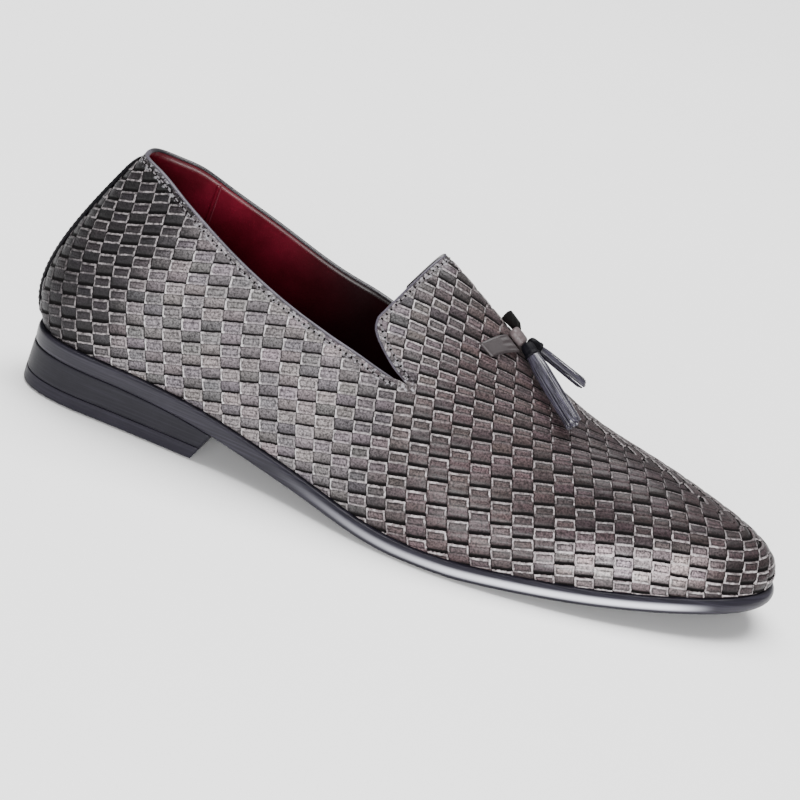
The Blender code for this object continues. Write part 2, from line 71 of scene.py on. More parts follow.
LAST_COLUMNS = (
    "at", "half", "shift", "lift", "crown_at", "gape", "crown_shift", "crown",
    "flare", "rise", "spread", "drop",
)
LAST_SECTIONS = (
    ("heel_back",   -5.6,  0.0,  0.0, 23.6,  19.0,  0.0,  0.0, 106.0, 13.0, 17.0, 19.0, 34.0),
    ("heel_turn",   -2.0, 13.0,  0.0, 23.6,  21.0,  8.0,  0.0, 106.0, 12.0, 18.0, 17.0, 33.0),
    ("heel_round",   9.0, 21.2,  0.2, 23.5,  28.0, 13.0,  0.0, 105.5, 10.0, 20.0, 11.0, 31.0),
    ("heel_seat",   32.0, 25.8,  0.7, 23.1,  40.0, 18.0,  0.0, 105.0,  7.0, 25.0,  6.0, 28.0),
    ("breast",      68.0, 28.6, -0.4, 20.5,  68.0, 21.0,  0.0, 104.5,  5.0, 26.0,  3.0, 26.0),
    ("shank",       98.0, 30.5, -3.2, 15.4, 100.0, 17.0,  0.0, 106.0,  6.0, 26.0,  7.0, 22.0),
    ("waist",      124.0, 35.2, -6.2, 11.4, 126.0,  9.0,  0.0, 107.5,  8.0, 24.0, 13.0,  5.0),
    ("instep",     144.0, 40.2, -7.8,  8.3, 145.0,  0.0,  0.0,  99.0,  8.0, 22.0, 17.0,  0.0),
    ("throat",     162.0, 44.9, -6.6,  6.7, 161.0,  0.0,  0.0,  88.4,  8.0, 20.0, 19.0,  0.0),
    ("vamp",       181.0, 48.2, -4.2,  6.7, 177.0,  0.0,  0.0,  77.3,  8.0, 17.0, 20.5,  0.0),
    ("ball_outer", 200.0, 49.2, -1.0,  7.9, 193.0,  0.0,  0.0,  66.2,  7.5, 15.0, 22.0,  0.0),
    ("ball_inner", 220.0, 48.0,  1.9,  9.5, 210.0,  0.0,  0.5,  57.4,  6.0, 13.0, 23.0,  0.0),
    ("toe_root",   240.0, 44.0,  3.7, 11.4, 227.0,  0.0,  1.0,  52.2,  5.0, 12.0, 22.0,  0.0),
    ("toe_box",    258.0, 37.6,  4.6, 13.4, 243.0,  0.0,  1.5,  47.8,  5.0, 11.5, 19.0,  0.0),
    ("toe_turn",   273.5, 30.0,  4.7, 15.4, 256.5,  0.0,  2.0,  43.7,  4.5, 11.0, 16.0,  0.8),
    ("toe_round",  286.0, 21.0,  4.4, 17.1, 266.5,  0.0,  2.2,  40.6,  4.0, 10.5, 14.0,  2.0),
    ("toe_near",   293.2, 11.5,  3.6, 18.1, 273.0,  0.0,  2.3,  38.6,  3.5, 10.5, 12.0,  3.2),
    ("toe_tip",    296.2,  0.0,  3.0, 18.5, 275.5,  0.0,  2.3,  37.9,  3.2, 10.5, 11.0,  3.8),
)
ODD_COLUMNS = ("half", "gape")
MOUTH_LINE = (
    # along  outer  inner
    (0.000, 0.962, 0.960),
    (0.045, 0.960, 0.948),
    (0.090, 0.942, 0.926),
    (0.138, 0.903, 0.897),
    (0.198, 0.820, 0.822),
    (0.247, 0.730, 0.762),
    (0.297, 0.648, 0.696),
    (0.343, 0.578, 0.622),
    (0.385, 0.516, 0.550),
    (0.427, 0.474, 0.504),
    (0.460, 0.468, 0.486),
    (0.492, 0.485, 0.486),
)
TAB_EDGE = (
    # along   up
    (0.4310, 0.600),
    (0.4330, 0.568),
    (0.4440, 0.537),
    (0.4600, 0.513),
    (0.4760, 0.499),
)


class Side(Enum):
    """Side of the shoe; the value is its sign."""

    OUTER = 1
    INNER = -1


def spline(knots: np.ndarray, values: np.ndarray, where: np.ndarray) -> np.ndarray:
    """Natural cubic spline through rows of values.

    Args:
        knots: Rising places of the rows.
        values: One row a knot, one column a quantity.
        where: Places to read.

    Returns:
        One row for each place.
    """
    count = len(knots)
    step = np.diff(knots)
    system = np.zeros((count, count))
    right = np.zeros((count, values.shape[1]))
    system[0, 0] = 1.0
    system[-1, -1] = 1.0
    for i in range(1, count - 1):
        system[i, i - 1] = step[i - 1]
        system[i, i] = 2.0 * (step[i - 1] + step[i])
        system[i, i + 1] = step[i]
        after = (values[i + 1] - values[i]) / step[i]
        right[i] = 6.0 * (after - (values[i] - values[i - 1]) / step[i - 1])
    bend = np.linalg.solve(system, right)
    where = np.atleast_1d(np.asarray(where, float))
    k = np.clip(np.searchsorted(knots, where, side="right") - 1, 0, count - 2)
    low = (knots[k + 1] - where)[:, None]
    high = (where - knots[k])[:, None]
    width = step[k][:, None]
    curve = (bend[k] * low**3 + bend[k + 1] * high**3) / (6.0 * width)
    line = (values[k] / width - bend[k] * width / 6.0) * low
    return curve + line + (values[k + 1] / width - bend[k + 1] * width / 6.0) * high


def ease(start: float, end: float, value: np.ndarray | float) -> np.ndarray:
    """Ease from 0 at start to 1 at end."""
    share = np.clip((np.asarray(value, float) - start) / (end - start), 0.0, 1.0)
    return share * share * (3.0 - 2.0 * share)


def soft_ramp(value: np.ndarray, width: float) -> np.ndarray:
    """Zero below 0 and the value itself above it, rounded over a width."""
    return width * np.log1p(np.exp(np.clip(value / width, -40.0, 40.0)))


def unit(vectors: np.ndarray) -> np.ndarray:
    """Vectors of length one along the last axis."""
    return vectors / np.maximum(np.linalg.norm(vectors, axis=-1, keepdims=True), 1e-12)


def metres(points: np.ndarray) -> np.ndarray:
    """Millimetres on the last to metres in the frame."""
    return (np.asarray(points, float) - ORIGIN) * MM


@dataclass
class Last:
    """The last that every piece is laid on, with its sizes in millimetres."""

    notch: float = 0.492
    peak: float = 0.472
    crown_at_notch: float = 0.532
    seam_at_notch: float = 0.488
    seam_at_toe: float = 0.50
    tab_bow: float = 0.007
    gap: float = 0.32
    sole_thickness: float = 6.5

    def __post_init__(self) -> None:
        """Spread the sections by the length of the outline and mirror them past both ends."""
        table = np.array([row[1:] for row in LAST_SECTIONS], float)
        step = np.hypot(np.diff(table[:, 0]), np.diff(table[:, 1]))
        knots = np.concatenate([[0.0], np.cumsum(step)])
        odd = np.isin(LAST_COLUMNS, ODD_COLUMNS)
        self._spots, self._rows = self._mirrored(knots / knots[-1], table, odd)
        mouth = np.array(MOUTH_LINE, float)
        self._mouth_spots, self._mouth_rows = self._mirrored(
            mouth[:, 0], mouth[:, 1:], np.array([False, False])
        )

    @staticmethod
    def _mirrored(knots: np.ndarray, values: np.ndarray, odd: np.ndarray) -> tuple[np.ndarray, np.ndarray]:
        """Repeat a table beyond heel and toe, so that both sides meet smoothly there."""
        sign = np.where(odd, -1.0, 1.0)
        spots = np.concatenate([-knots[1:][::-1], knots, 2.0 - knots[:-1][::-1]])
        return spots, np.vstack([values[1:][::-1] * sign, values, values[:-1][::-1] * sign])

    def section(self, along: np.ndarray) -> dict[str, np.ndarray]:
        """Columns of the last at the given places."""
        along = np.atleast_1d(along)
        columns = dict(zip(LAST_COLUMNS, spline(self._spots, self._rows, along).T))
        columns["gape"] = columns["gape"] * (1.0 - ease(0.38, self.peak, np.abs(along)))
        return columns

    def skin(self, side: Side, along: np.ndarray, up: np.ndarray) -> np.ndarray:
        """Points of the outer skin.

        Args:
            side: Side of the shoe.
            along: Places from heel to toe.
            up: Shares of the way up, broadcast with along.

        Returns:
            Points in millimetres, with x, y, z on the last axis.
        """
        along, up = np.broadcast_arrays(np.asarray(along, float), np.asarray(up, float))
        row = self.section(along.ravel())
        t = up.ravel()[:, None]
        sign = side.value
        foot = np.column_stack([row["at"], -sign * row["half"] + row["shift"]])
        crown = np.column_stack([row["crown_at"], -sign * row["gape"] + row["crown_shift"]])
        out = unit(foot - crown)
        start = np.column_stack([foot, row["lift"]])
        end = np.column_stack([crown, row["crown"]])
        low = np.column_stack([foot + out * row["flare"][:, None], row["lift"] + row["rise"]])
        high = np.column_stack([crown + out * row["spread"][:, None], row["crown"] - row["drop"]])
        points = start * (1 - t) ** 3 + 3 * low * t * (1 - t) ** 2
        points = points + 3 * high * t**2 * (1 - t) + end * t**3
        return points.reshape(along.shape + (3,))

    def normal(self, side: Side, along: np.ndarray, up: np.ndarray) -> np.ndarray:
        """Outward unit normals of the skin."""
        step = 1e-3
        along = np.asarray(along, float)
        up = np.asarray(up, float)
        ahead = self.skin(side, along + step, up) - self.skin(side, along - step, up)
        rise = self.skin(side, along, np.minimum(up + step, 1.0)) - self.skin(side, along, up - step)
        return unit(np.cross(ahead, rise) * side.value)

    def crown_normal(self, along: np.ndarray) -> np.ndarray:
        """Unit normals on the crown line, the same for both sides."""
        top = np.ones_like(along)
        return unit(self.normal(Side.OUTER, along, top) + self.normal(Side.INNER, along, top))

    def offset(self, side: Side, along: np.ndarray, up: np.ndarray, out: np.ndarray | float) -> np.ndarray:
        """Points of the skin moved outwards by a distance."""
        out = np.asarray(out, float)[..., None] if np.ndim(out) else out
        return self.skin(side, along, up) + self.normal(side, along, up) * out

    def mouth(self, side: Side, along: np.ndarray) -> np.ndarray:
        """Share of the way up at which the mouth is cut."""
        column = 0 if side is Side.OUTER else 1
        return spline(self._mouth_spots, self._mouth_rows, along)[:, column]

    def seam(self, along: np.ndarray) -> np.ndarray:
        """Share of the way up of the line that runs on from the notch to the toe."""
        past = (np.asarray(along) - self.notch) / (1.0 - self.notch)
        return self.seam_at_notch + (self.seam_at_toe - self.seam_at_notch) * past

    def wall_top(self, side: Side, along: np.ndarray) -> np.ndarray:
        """Top of the lower wall: the mouth behind the notch, the seam line before it."""
        seam = self.seam(along)
        top = np.where(along < self.notch - 1e-6, self.mouth(side, np.minimum(along, self.notch)), seam)
        blend = ease(self.notch - 0.03, self.notch, along)
        return top * (1.0 - blend) + seam * blend

    def tab_foot(self, share: np.ndarray) -> np.ndarray:
        """Free side edge of the tab, from its corner (0) to the notch (1), as along and up."""
        edge = np.vstack([np.array(TAB_EDGE), [self.notch, self.seam_at_notch]])
        return spline(np.linspace(0.0, 1.0, len(edge)), edge, share)

    def tab_place(self, across: np.ndarray, climb: np.ndarray) -> tuple[np.ndarray, np.ndarray]:
        """Place on the tab.

        Args:
            across: 0 at the tab's top edge, 1 at the notch.
            climb: 0 at the free side edge, 1 at the crown line.

        Returns:
            Along and up.
        """
        across, climb = np.broadcast_arrays(across, climb)
        foot = self.tab_foot(across.ravel()).reshape(across.shape + (2,))
        crown = self.peak + (self.crown_at_notch - self.peak) * across
        bow = 4.0 * self.tab_bow * (1.0 - across) * climb * (1.0 - climb)
        return foot[..., 0] * (1.0 - climb) + crown * climb + bow, foot[..., 1] * (1.0 - climb) + climb

    def front_place(self, along: np.ndarray, climb: np.ndarray) -> tuple[np.ndarray, np.ndarray]:
        """Place on the vamp above the seam line, at a share of the way to the crown."""
        lead = (self.crown_at_notch - self.notch) * (1.0 - ease(self.notch, 0.68, along))
        return along + lead * climb, self.seam(along) * (1.0 - climb) + climb

    def outline(self, side: Side, along: np.ndarray, reach: float) -> np.ndarray:
        """Plan of the feather line, moved outwards by reach."""
        step = 1e-4
        along = np.asarray(along, float)
        tangent = (self.skin(side, along + step, 0.0) - self.skin(side, along - step, 0.0))[:, :2]
        out = side.value * np.column_stack([tangent[:, 1], -tangent[:, 0]])
        return self.skin(side, along, 0.0)[:, :2] + unit(out) * reach

    def sole_top(self, along: np.ndarray) -> np.ndarray:
        """Height of the face of the outsole that the upper rests on."""
        return self.section(along)["lift"] - self.gap

    def sole_bottom(self, along: np.ndarray) -> np.ndarray:
        """Height of the underside of the outsole."""
        return np.maximum(self.sole_top(along) - self.sole_thickness, 0.0)


@dataclass
class WeaveChart:
    """Rows and columns of the woven leather over the skin, counted in cells."""

    last: Last
    cell_long: float = CELL_LONG
    cell_high: float = CELL_HIGH
    turn_at: float = 5.0
    turn_lean: float = 0.7
    turn_width: float = 14.0
    turn_slope: float = 0.25
    lean_back: float = 0.27
    lean_front: float = 0.34
    heel_at: float = -104.0
    heel_squeeze: float = 0.133
    heel_fall: float = 0.02
    nose_at: float = 78.0
    nose_squeeze: float = 0.15
    vamp_slope: float = 0.17
    vamp_end: float = 104.0
    vamp_fade: tuple[float, float] = (58.0, 92.0)
    lean_span: tuple[float, float] = (-40.0, 30.0)
    turn_height: float = 40.0
    lean_height: float = 20.0
    end_width: float = 8.0
    crown_round: float = 0.9
    tip_round: float = 0.9
    middle: float = 0.6
    rows: int = 121
    columns: int = 481

    def __post_init__(self) -> None:
        """Measure the skin once on a regular grid."""
        self._along = np.linspace(0.0, 1.0, self.columns)
        self._up = np.linspace(0.0, 1.0, self.rows)
        start = int(np.argmin(np.abs(self._along - self.middle)))
        girth, length, at = {}, {}, {}
        for side in Side:
            points = self.last.skin(side, self._along[:, None], self._up[None, :])
            rise = np.linalg.norm(np.diff(points, axis=1), axis=2)
            girth[side] = np.pad(np.cumsum(rise, axis=1), ((0, 0), (1, 0)))
            run = np.linalg.norm(np.diff(points, axis=0), axis=2)
            length[side] = np.pad(np.cumsum(run, axis=0), ((1, 0), (0, 0)))
            length[side] = length[side] - length[side][start]
            at[side] = points[start, :, 0] - ORIGIN[0]
        lift = self.last.section(self._along)["lift"][:, None]
        whole = girth[Side.OUTER][:, -1:]
        self._charts = {}
        self._girth = girth
        for side in Side:
            left = girth[side][:, -1:] - girth[side]
            height = lift + whole - np.sqrt(left**2 + self.crown_round**2)
            ahead = np.maximum(length[side], 0.0) * (length[Side.OUTER][-1] / length[side][-1])
            end = length[Side.OUTER][-1]
            ahead = end - np.sqrt((end - ahead) ** 2 + self.tip_round**2) + (
                np.sqrt(end**2 + self.tip_round**2) - end
            )
            run = np.where(length[side] > 0.0, ahead, length[side]) + at[side]
            turn = self.turn_at - self.turn_lean * (height - self.turn_height)
            heel = soft_ramp(self.heel_at - run, self.end_width)
            rise = self.turn_slope * soft_ramp(turn - run, self.turn_width) - self.heel_fall * heel
            vamp = soft_ramp(run - turn, self.turn_width) - soft_ramp(run - self.vamp_end, self.end_width)
            rise = rise - self.vamp_slope * (1.0 - ease(*self.vamp_fade, height)) * vamp
            row = (height + rise) / self.cell_high
            lean = self.lean_back + (self.lean_front - self.lean_back) * ease(*self.lean_span, run)
            nose = soft_ramp(run - self.nose_at, self.end_width)
            wide = run - self.heel_squeeze * heel + self.nose_squeeze * nose
            column = (wide + lean * (height - self.lean_height)) / self.cell_long
            self._charts[side] = np.stack([column, row], axis=2)

    def _read(self, table: np.ndarray, along: np.ndarray, up: np.ndarray) -> np.ndarray:
        """Read a table of the regular grid between its entries."""
        a = np.clip(np.asarray(along) * (self.columns - 1), 0, self.columns - 1.001)
        b = np.clip(np.asarray(up) * (self.rows - 1), 0, self.rows - 1.001)
        i, j = a.astype(int), b.astype(int)
        u, v = a - i, b - j
        if table.ndim == 3:
            u, v = u[..., None], v[..., None]
        low = table[i, j] * (1 - u) + table[i + 1, j] * u
        return low * (1 - v) + (table[i, j + 1] * (1 - u) + table[i + 1, j + 1] * u) * v

    def cells(self, side: Side, along: np.ndarray, up: np.ndarray) -> np.ndarray:
        """Column and row counts at places of the skin."""
        return self._read(self._charts[side], along, up)

    def girth(self, side: Side, along: np.ndarray, up: np.ndarray) -> np.ndarray:
        """Distance up the wall from the feather line."""
        return self._read(self._girth[side], along, up)

    def relief(self, cells: np.ndarray) -> np.ndarray:
        """Height of the weave over the skin.

        Plates and pillows alternate like the squares of a board. A plate stands
        proud all round; a pillow starts level with the plate above it and sinks
        to the gap over the next one.

        Args:
            cells: Column and row counts, on the last axis.

        Returns:
            Heights in millimetres.
        """
        whole = np.floor(cells)
        part = cells - whole
        plate = (whole[..., 0] + whole[..., 1]) % 2 < 0.5
        side = np.minimum(part[..., 0], 1.0 - part[..., 0]) * self.cell_long
        top = (1.0 - part[..., 1]) * self.cell_high
        foot = part[..., 1] * self.cell_high
        swell = (1.0 - (2.0 * part[..., 0] - 1.0) ** 2) * (1.0 - (2.0 * part[..., 1] - 1.0) ** 2)
        raised = 0.04 + 0.22 * ease(0.0, 0.6, side) * ease(0.0, 0.55, top) + 0.06 * swell
        sunk = -0.46 + 0.47 * ease(0.0, 2.4, foot) + 0.10 * swell
        sunk = sunk - 0.14 * (1.0 - ease(0.0, 0.8, side))
        return np.where(plate, raised, sunk)


class Term:
    """Output of a node, reckoned with like a number."""

    def __init__(self, graph: Graph, socket: bpy.types.NodeSocket) -> None:
        """Keep the graph and the socket."""
        self.graph = graph
        self.socket = socket

    def __add__(self, other: object) -> Term:
        """Sum."""
        return self.graph.math("ADD", self, other)

    def __sub__(self, other: object) -> Term:
        """Difference."""
        return self.graph.math("SUBTRACT", self, other)

    def __rsub__(self, other: object) -> Term:
        """What is left of a number."""
        return self.graph.math("SUBTRACT", other, self)

    def __mul__(self, other: object) -> Term:
        """Product."""
        return self.graph.math("MULTIPLY", self, other)


class Graph:
    """Short calls for laying out a node tree."""

    def __init__(self, tree: bpy.types.NodeTree) -> None:
        """Keep the tree."""
        self.tree = tree

    def node(self, kind: str, **settings: object) -> bpy.types.Node:
        """Add a node and set its properties."""
        made = self.tree.nodes.new("ShaderNode" + kind)
        for name, value in settings.items():
            setattr(made, name, value)
        return made

    def feed(self, socket: bpy.types.NodeSocket, value: object) -> None:
        """Link an output to a socket, or set its value."""
        if isinstance(value, Term):
            self.tree.links.new(value.socket, socket)
        elif socket.type == "RGBA":
            socket.default_value = (*value, 1.0)
        else:
            socket.default_value = value

    def read(self, made: bpy.types.Node, values: dict[int | str, object], output: int | str = 0) -> Term:
        """Feed the inputs of a node and take one of its outputs."""
        for name, value in values.items():
            self.feed(made.inputs[name], value)
        return Term(self, made.outputs[output])

    def math(self, operation: str, *values: object) -> Term:
        """Math node on one to three values."""
        return self.read(self.node("Math", operation=operation), dict(enumerate(values)))

    def shift(self, operation: str, *values: object) -> Term:
        """Vector math node."""
        return self.read(self.node("VectorMath", operation=operation), dict(enumerate(values)))

    def rise(self, span: Sequence[float], value: Term) -> Term:
        """Smooth step from 0 to 1 over a span."""
        made = self.node("MapRange", interpolation_type="SMOOTHSTEP")
        return self.read(made, {"Value": value, "From Min": span[0], "From Max": span[1]})

    def fall(self, span: Sequence[float], value: Term) -> Term:
        """Smooth step from 1 to 0 over a span."""
        return 1.0 - self.rise(span, value)

    def scaled(self, value: Term, low: float, high: float) -> Term:
        """Spread a value from 0..1 to low..high."""
        return self.read(self.node("MapRange", clamp=False), {"Value": value, "To Min": low, "To Max": high})

    def mix(self, factor: object, first: object, second: object, blend: str = "MIX") -> Term:
        """Mix two colours."""
        made = self.node("Mix", data_type="RGBA", blend_type=blend)
        return self.read(made, {0: factor, 6: first, 7: second}, 2)

    def times(self, first: object, second: object) -> Term:
        """Product of two colours."""
        return self.mix(1.0, first, second, "MULTIPLY")

    def grey(self, value: Term) -> Term:
        """Colour with the same value in all three channels."""
        return self.read(self.node("CombineColor"), {0: value, 1: value, 2: value})

    def noise(
        self, where: Term, scale: object, detail: float = 2.0, rough: float = 0.5, output: int = 0,
    ) -> Term:
        """Noise at a place: its value, or its colour as output 1."""
        values = {"Vector": where, "Scale": scale, "Detail": detail, "Roughness": rough}
        return self.read(self.node("TexNoise"), values, output)

    def stretched(self, where: Term, scale: Sequence[float]) -> Term:
        """A place with each axis scaled."""
        return self.read(self.node("Mapping"), {"Vector": where, "Scale": scale})

    def axes(self, where: Term) -> list[Term]:
        """The three numbers of a place."""
        made = self.node("SeparateXYZ")
        self.feed(made.inputs[0], where)
        return [Term(self, output) for output in made.outputs]

    def uv(self, name: str) -> Term:
        """A named UV map."""
        return self.read(self.node("UVMap", uv_map=name), {})

    def attribute(self, name: str) -> Term:
        """A named value that the mesh carries."""
        return self.read(self.node("Attribute", attribute_name=name), {}, "Fac")

    def place(self) -> Term:
        """Place in the frame, in metres."""
        return self.read(self.node("TexCoord"), {}, "Object")

    def use(self, tree: bpy.types.NodeTree, **values: object) -> dict[str, Term]:
        """Place a node group, feed its inputs and give its outputs by name."""
        made = self.node("Group", node_tree=tree)
        for name, value in values.items():
            self.feed(made.inputs[name], value)
        return {output.name: Term(self, output) for output in made.outputs}


class NodeGroup(Graph):
    """A shader node group that several finishes share."""

    def __init__(self, name: str, **inputs: float | None) -> None:
        """Make the group.

        Args:
            name: Name of the group.
            inputs: Default of each number that goes in, or None for a place.
        """
        super().__init__(bpy.data.node_groups.new(name, "ShaderNodeTree"))
        for label, default in inputs.items():
            kind = "NodeSocketVector" if default is None else "NodeSocketFloat"
            socket = self.tree.interface.new_socket(label, in_out="INPUT", socket_type=kind)
            if default is not None:
                socket.default_value = default
        enter = self.tree.nodes.new("NodeGroupInput")
        self.given = {label: Term(self, enter.outputs[label]) for label in inputs}

    def finish(self, **outputs: Term) -> bpy.types.NodeTree:
        """Give the group its outputs and hand over its tree."""
        for label, value in outputs.items():
            kind = "NodeSocketColor" if value.socket.type == "RGBA" else "NodeSocketFloat"
            self.tree.interface.new_socket(label, in_out="OUTPUT", socket_type=kind)
        leave = self.tree.nodes.new("NodeGroupOutput")
        for label, value in outputs.items():
            self.feed(leave.inputs[label], value)
        return self.tree


@dataclass(frozen=True)
class CellMarks:
    """Marks on the cells of the weave; spans are in millimetres from a cell's edges."""

    seam: tuple[float, float] = (0.02, 0.14)
    frame: tuple[float, float] = (0.58, 0.94)
    groove: tuple[float, float] = (0.78, 1.02)
    groove_end: tuple[float, float] = (1.15, 1.55)
    sill_lift: float = 0.12
    gap: tuple[float, float] = (0.72, 1.58)
    crack: tuple[float, float] = (0.30, 0.95)
    flank: tuple[float, float] = (0.10, 0.50)
    flank_depth: float = 0.85
    slope: tuple[float, float] = (0.8, 3.6)
    head: tuple[float, float] = (0.12, 0.46)
    left: tuple[float, float] = (0.13, 0.17)
    sill: tuple[float, float] = (0.90, 1.20)
    frame_height: float = 0.20
    groove_height: float = 0.12
    gap_height: float = 0.28

    def group(self) -> bpy.types.NodeTree:
        """Masks and height of the woven cells, read from column and row counts."""
        g = NodeGroup("weave_cells", Cells=None)
        across, up, _ = g.axes(g.given["Cells"])
        a, b = g.math("FRACT", across), g.math("FRACT", up)
        column, row = g.math("FLOOR", across), g.math("FLOOR", up)
        plate = g.math("LESS_THAN", g.math("FLOORED_MODULO", column + row, 2.0), 0.5)
        pillow = 1.0 - plate
        side = g.math("PINGPONG", a, 0.5) * CELL_LONG
        top = (1.0 - b) * CELL_HIGH
        foot = b * CELL_HIGH
        rim = g.math("MINIMUM", side, g.math("MINIMUM", top, foot + self.sill_lift))
        frame = g.rise(self.seam, rim) * g.fall(self.frame, rim) * plate
        groove = g.rise(self.groove, rim) * g.fall(self.groove_end, rim) * plate
        flank = g.fall(self.flank, side) * self.flank_depth
        gap = g.math("MAXIMUM", g.fall(self.gap, foot), flank) * pillow
        crack = g.math("MAXIMUM", g.fall(self.crack, foot), flank) * pillow
        seat = g.read(g.node("CombineXYZ"), {0: column, 1: row})
        tone = g.node("TexWhiteNoise", noise_dimensions="2D")
        # Gap, crack, slope and head mark where painted shade goes on a pillow; frame marks a plate's light
        # rim, partly painted highlight.
        return g.finish(
            Frame=frame, Groove=groove, Gap=gap, Crack=crack, Plate=plate,
            Slope=g.fall(self.slope, foot) * pillow, Head=g.fall(self.head, top) * pillow,
            Left=g.fall(self.left, a), Sill=g.fall(self.sill, foot),
            Tone=g.read(tone, {"Vector": seat}, "Value"), Tint=g.read(tone, {}, "Color"),
            Height=frame * self.frame_height - groove * self.groove_height - gap * self.gap_height,
        )


class Effects:
    """Node groups that several finishes share."""

    def __init__(self) -> None:
        """Build every group once."""
        self.weave = CellMarks().group()
        self.grain = self._grain()
        self.strata = self._strata()

    @staticmethod
    def _grain() -> bpy.types.NodeTree:
        """Leather grain: pebbles with fine pores, and a cloudy mask."""
        g = NodeGroup("leather_grain", Place=None, Fineness=900.0)
        place, fineness = g.given["Place"], g.given["Fineness"]
        voronoi = g.node("TexVoronoi", feature="DISTANCE_TO_EDGE")
        pebbles = g.read(voronoi, {"Vector": place, "Scale": fineness})
        speck = g.noise(place, fineness * 1.6, 3.0)
        height = g.rise((0.0, 0.25), pebbles) + speck * 0.6
        return g.finish(Height=height, Cloud=g.noise(place, 45.0, 4.0, 0.55), Speck=speck)

    @staticmethod
    def _strata() -> bpy.types.NodeTree:
        """Fine lines along a leather edge, stacked in height."""
        g = NodeGroup("edge_strata", Place=None)
        streak = g.noise(g.stretched(g.given["Place"], (30.0, 30.0, 1500.0)), 1.0, 3.0, 0.6)
        fine = g.noise(g.stretched(g.given["Place"], (220.0, 220.0, 2600.0)), 1.0)
        return g.finish(Height=streak + fine * 0.5, Streak=streak)


class Finish:
    """Base of the finishes: makes a material around one Principled shader."""

    name: str

    def start(self) -> tuple[bpy.types.Material, Graph]:
        """Empty material with its shader and output."""
        material = bpy.data.materials.new(self.name)
        material.use_nodes = True
        material.node_tree.nodes.clear()
        graph = Graph(material.node_tree)
        self._shader(graph, graph.node("BsdfPrincipled"))
        return material, graph

    @staticmethod
    def _shader(graph: Graph, shader: bpy.types.Node) -> None:
        """Lead the shader to the output."""
        shader.name = "shader"
        graph.feed(graph.node("OutputMaterial").inputs["Surface"], Term(graph, shader.outputs[0]))

    @staticmethod
    def lay(graph: Graph, depth_mm: float, height: Term, **looks: object) -> None:
        """Feed the shader.

        Args:
            graph: Graph of the material.
            depth_mm: Depth of the bump.
            height: Height of the bump, from 0 to about 1.
            looks: Value of each socket of the shader, with _ for a space in its name.
        """
        shader = graph.tree.nodes["shader"]
        bump = {"Distance": depth_mm * MM, "Strength": 1.0, "Height": height}
        graph.feed(shader.inputs["Normal"], graph.read(graph.node("Bump"), bump))
        for label, value in looks.items():
            graph.feed(shader.inputs[label.replace("_", " ")], value)


@dataclass(frozen=True)
class TintAndLightZones:
    """Areas of the upper painted lighter or darker, most of them painted light and shade; spans are in metres.
    """

    wander: float = 0.012
    heel_lean: float = 0.42
    heel: tuple[float, float] = (-0.146, -0.122)
    quarter: tuple[float, float] = (-0.144, -0.118)
    quarter_end: tuple[float, float] = (-0.032, 0.014)
    front: tuple[float, float] = (-0.012, 0.028)
    toe: tuple[float, float] = (0.052, 0.104)
    toe_lean: float = 0.35
    feather_at: float = 0.056
    feather_height: float = 0.008
    feather_slope: float = 0.109
    foot_wander: float = 0.12
    # Low toe rows and their brightest row: painted highlight.
    low: tuple[float, float] = (0.062, 0.096)
    low_top: tuple[float, float] = (0.012, 0.020)
    low_end: tuple[float, float] = (0.118, 0.140)
    painted_highlight: tuple[float, float] = (0.0035, 0.0075)
    skirt: tuple[float, float] = (0.040, 0.075)
    skirt_top: tuple[float, float] = (0.016, 0.024)
    back_edge: tuple[float, float] = (-0.147, -0.126)
    crest: tuple[float, float] = (0.62, 0.93)

    def masks(self, g: Graph) -> dict[str, Term]:
        """Soft mask of each area."""
        place = g.place()
        x, _, z = g.axes(place)
        wander = g.scaled(g.noise(place, 28.0), -self.wander, self.wander)
        leaning = (x - z * self.heel_lean) + wander
        feather = (x - self.feather_at) * self.feather_slope + self.feather_height
        over = (z - feather) + wander * self.foot_wander
        low = g.rise(self.low, x) * g.fall(self.low_top, over) * g.fall(self.low_end, x)
        front = g.rise(self.front, x + wander)
        facing = g.axes(g.read(g.node("TexCoord"), {}, "Normal"))[2]
        # Masks for the heel, the toe top, the back edge and faces turned up carry painted shade; the quarter
        # mask carries painted sheen; the low toe rows and their brightest row carry painted highlight; the
        # front mask tints the vamp's own colour and, with the skirt, places the painted highlight of the
        # frames.
        return {
            "heel": g.fall(self.heel, leaning),
            "quarter": g.rise(self.quarter, leaning) * g.fall(self.quarter_end, x),
            "front": front,
            "toe": g.rise(self.toe, x + z * self.toe_lean),
            "low": low,
            "painted_highlight": low * g.rise(self.painted_highlight, over),
            "skirt": g.rise(self.skirt, x) * g.fall(self.skirt_top, over),
            "back_edge": g.fall(self.back_edge, x + wander),
            "crest": g.rise(self.crest, facing) * front,
        }


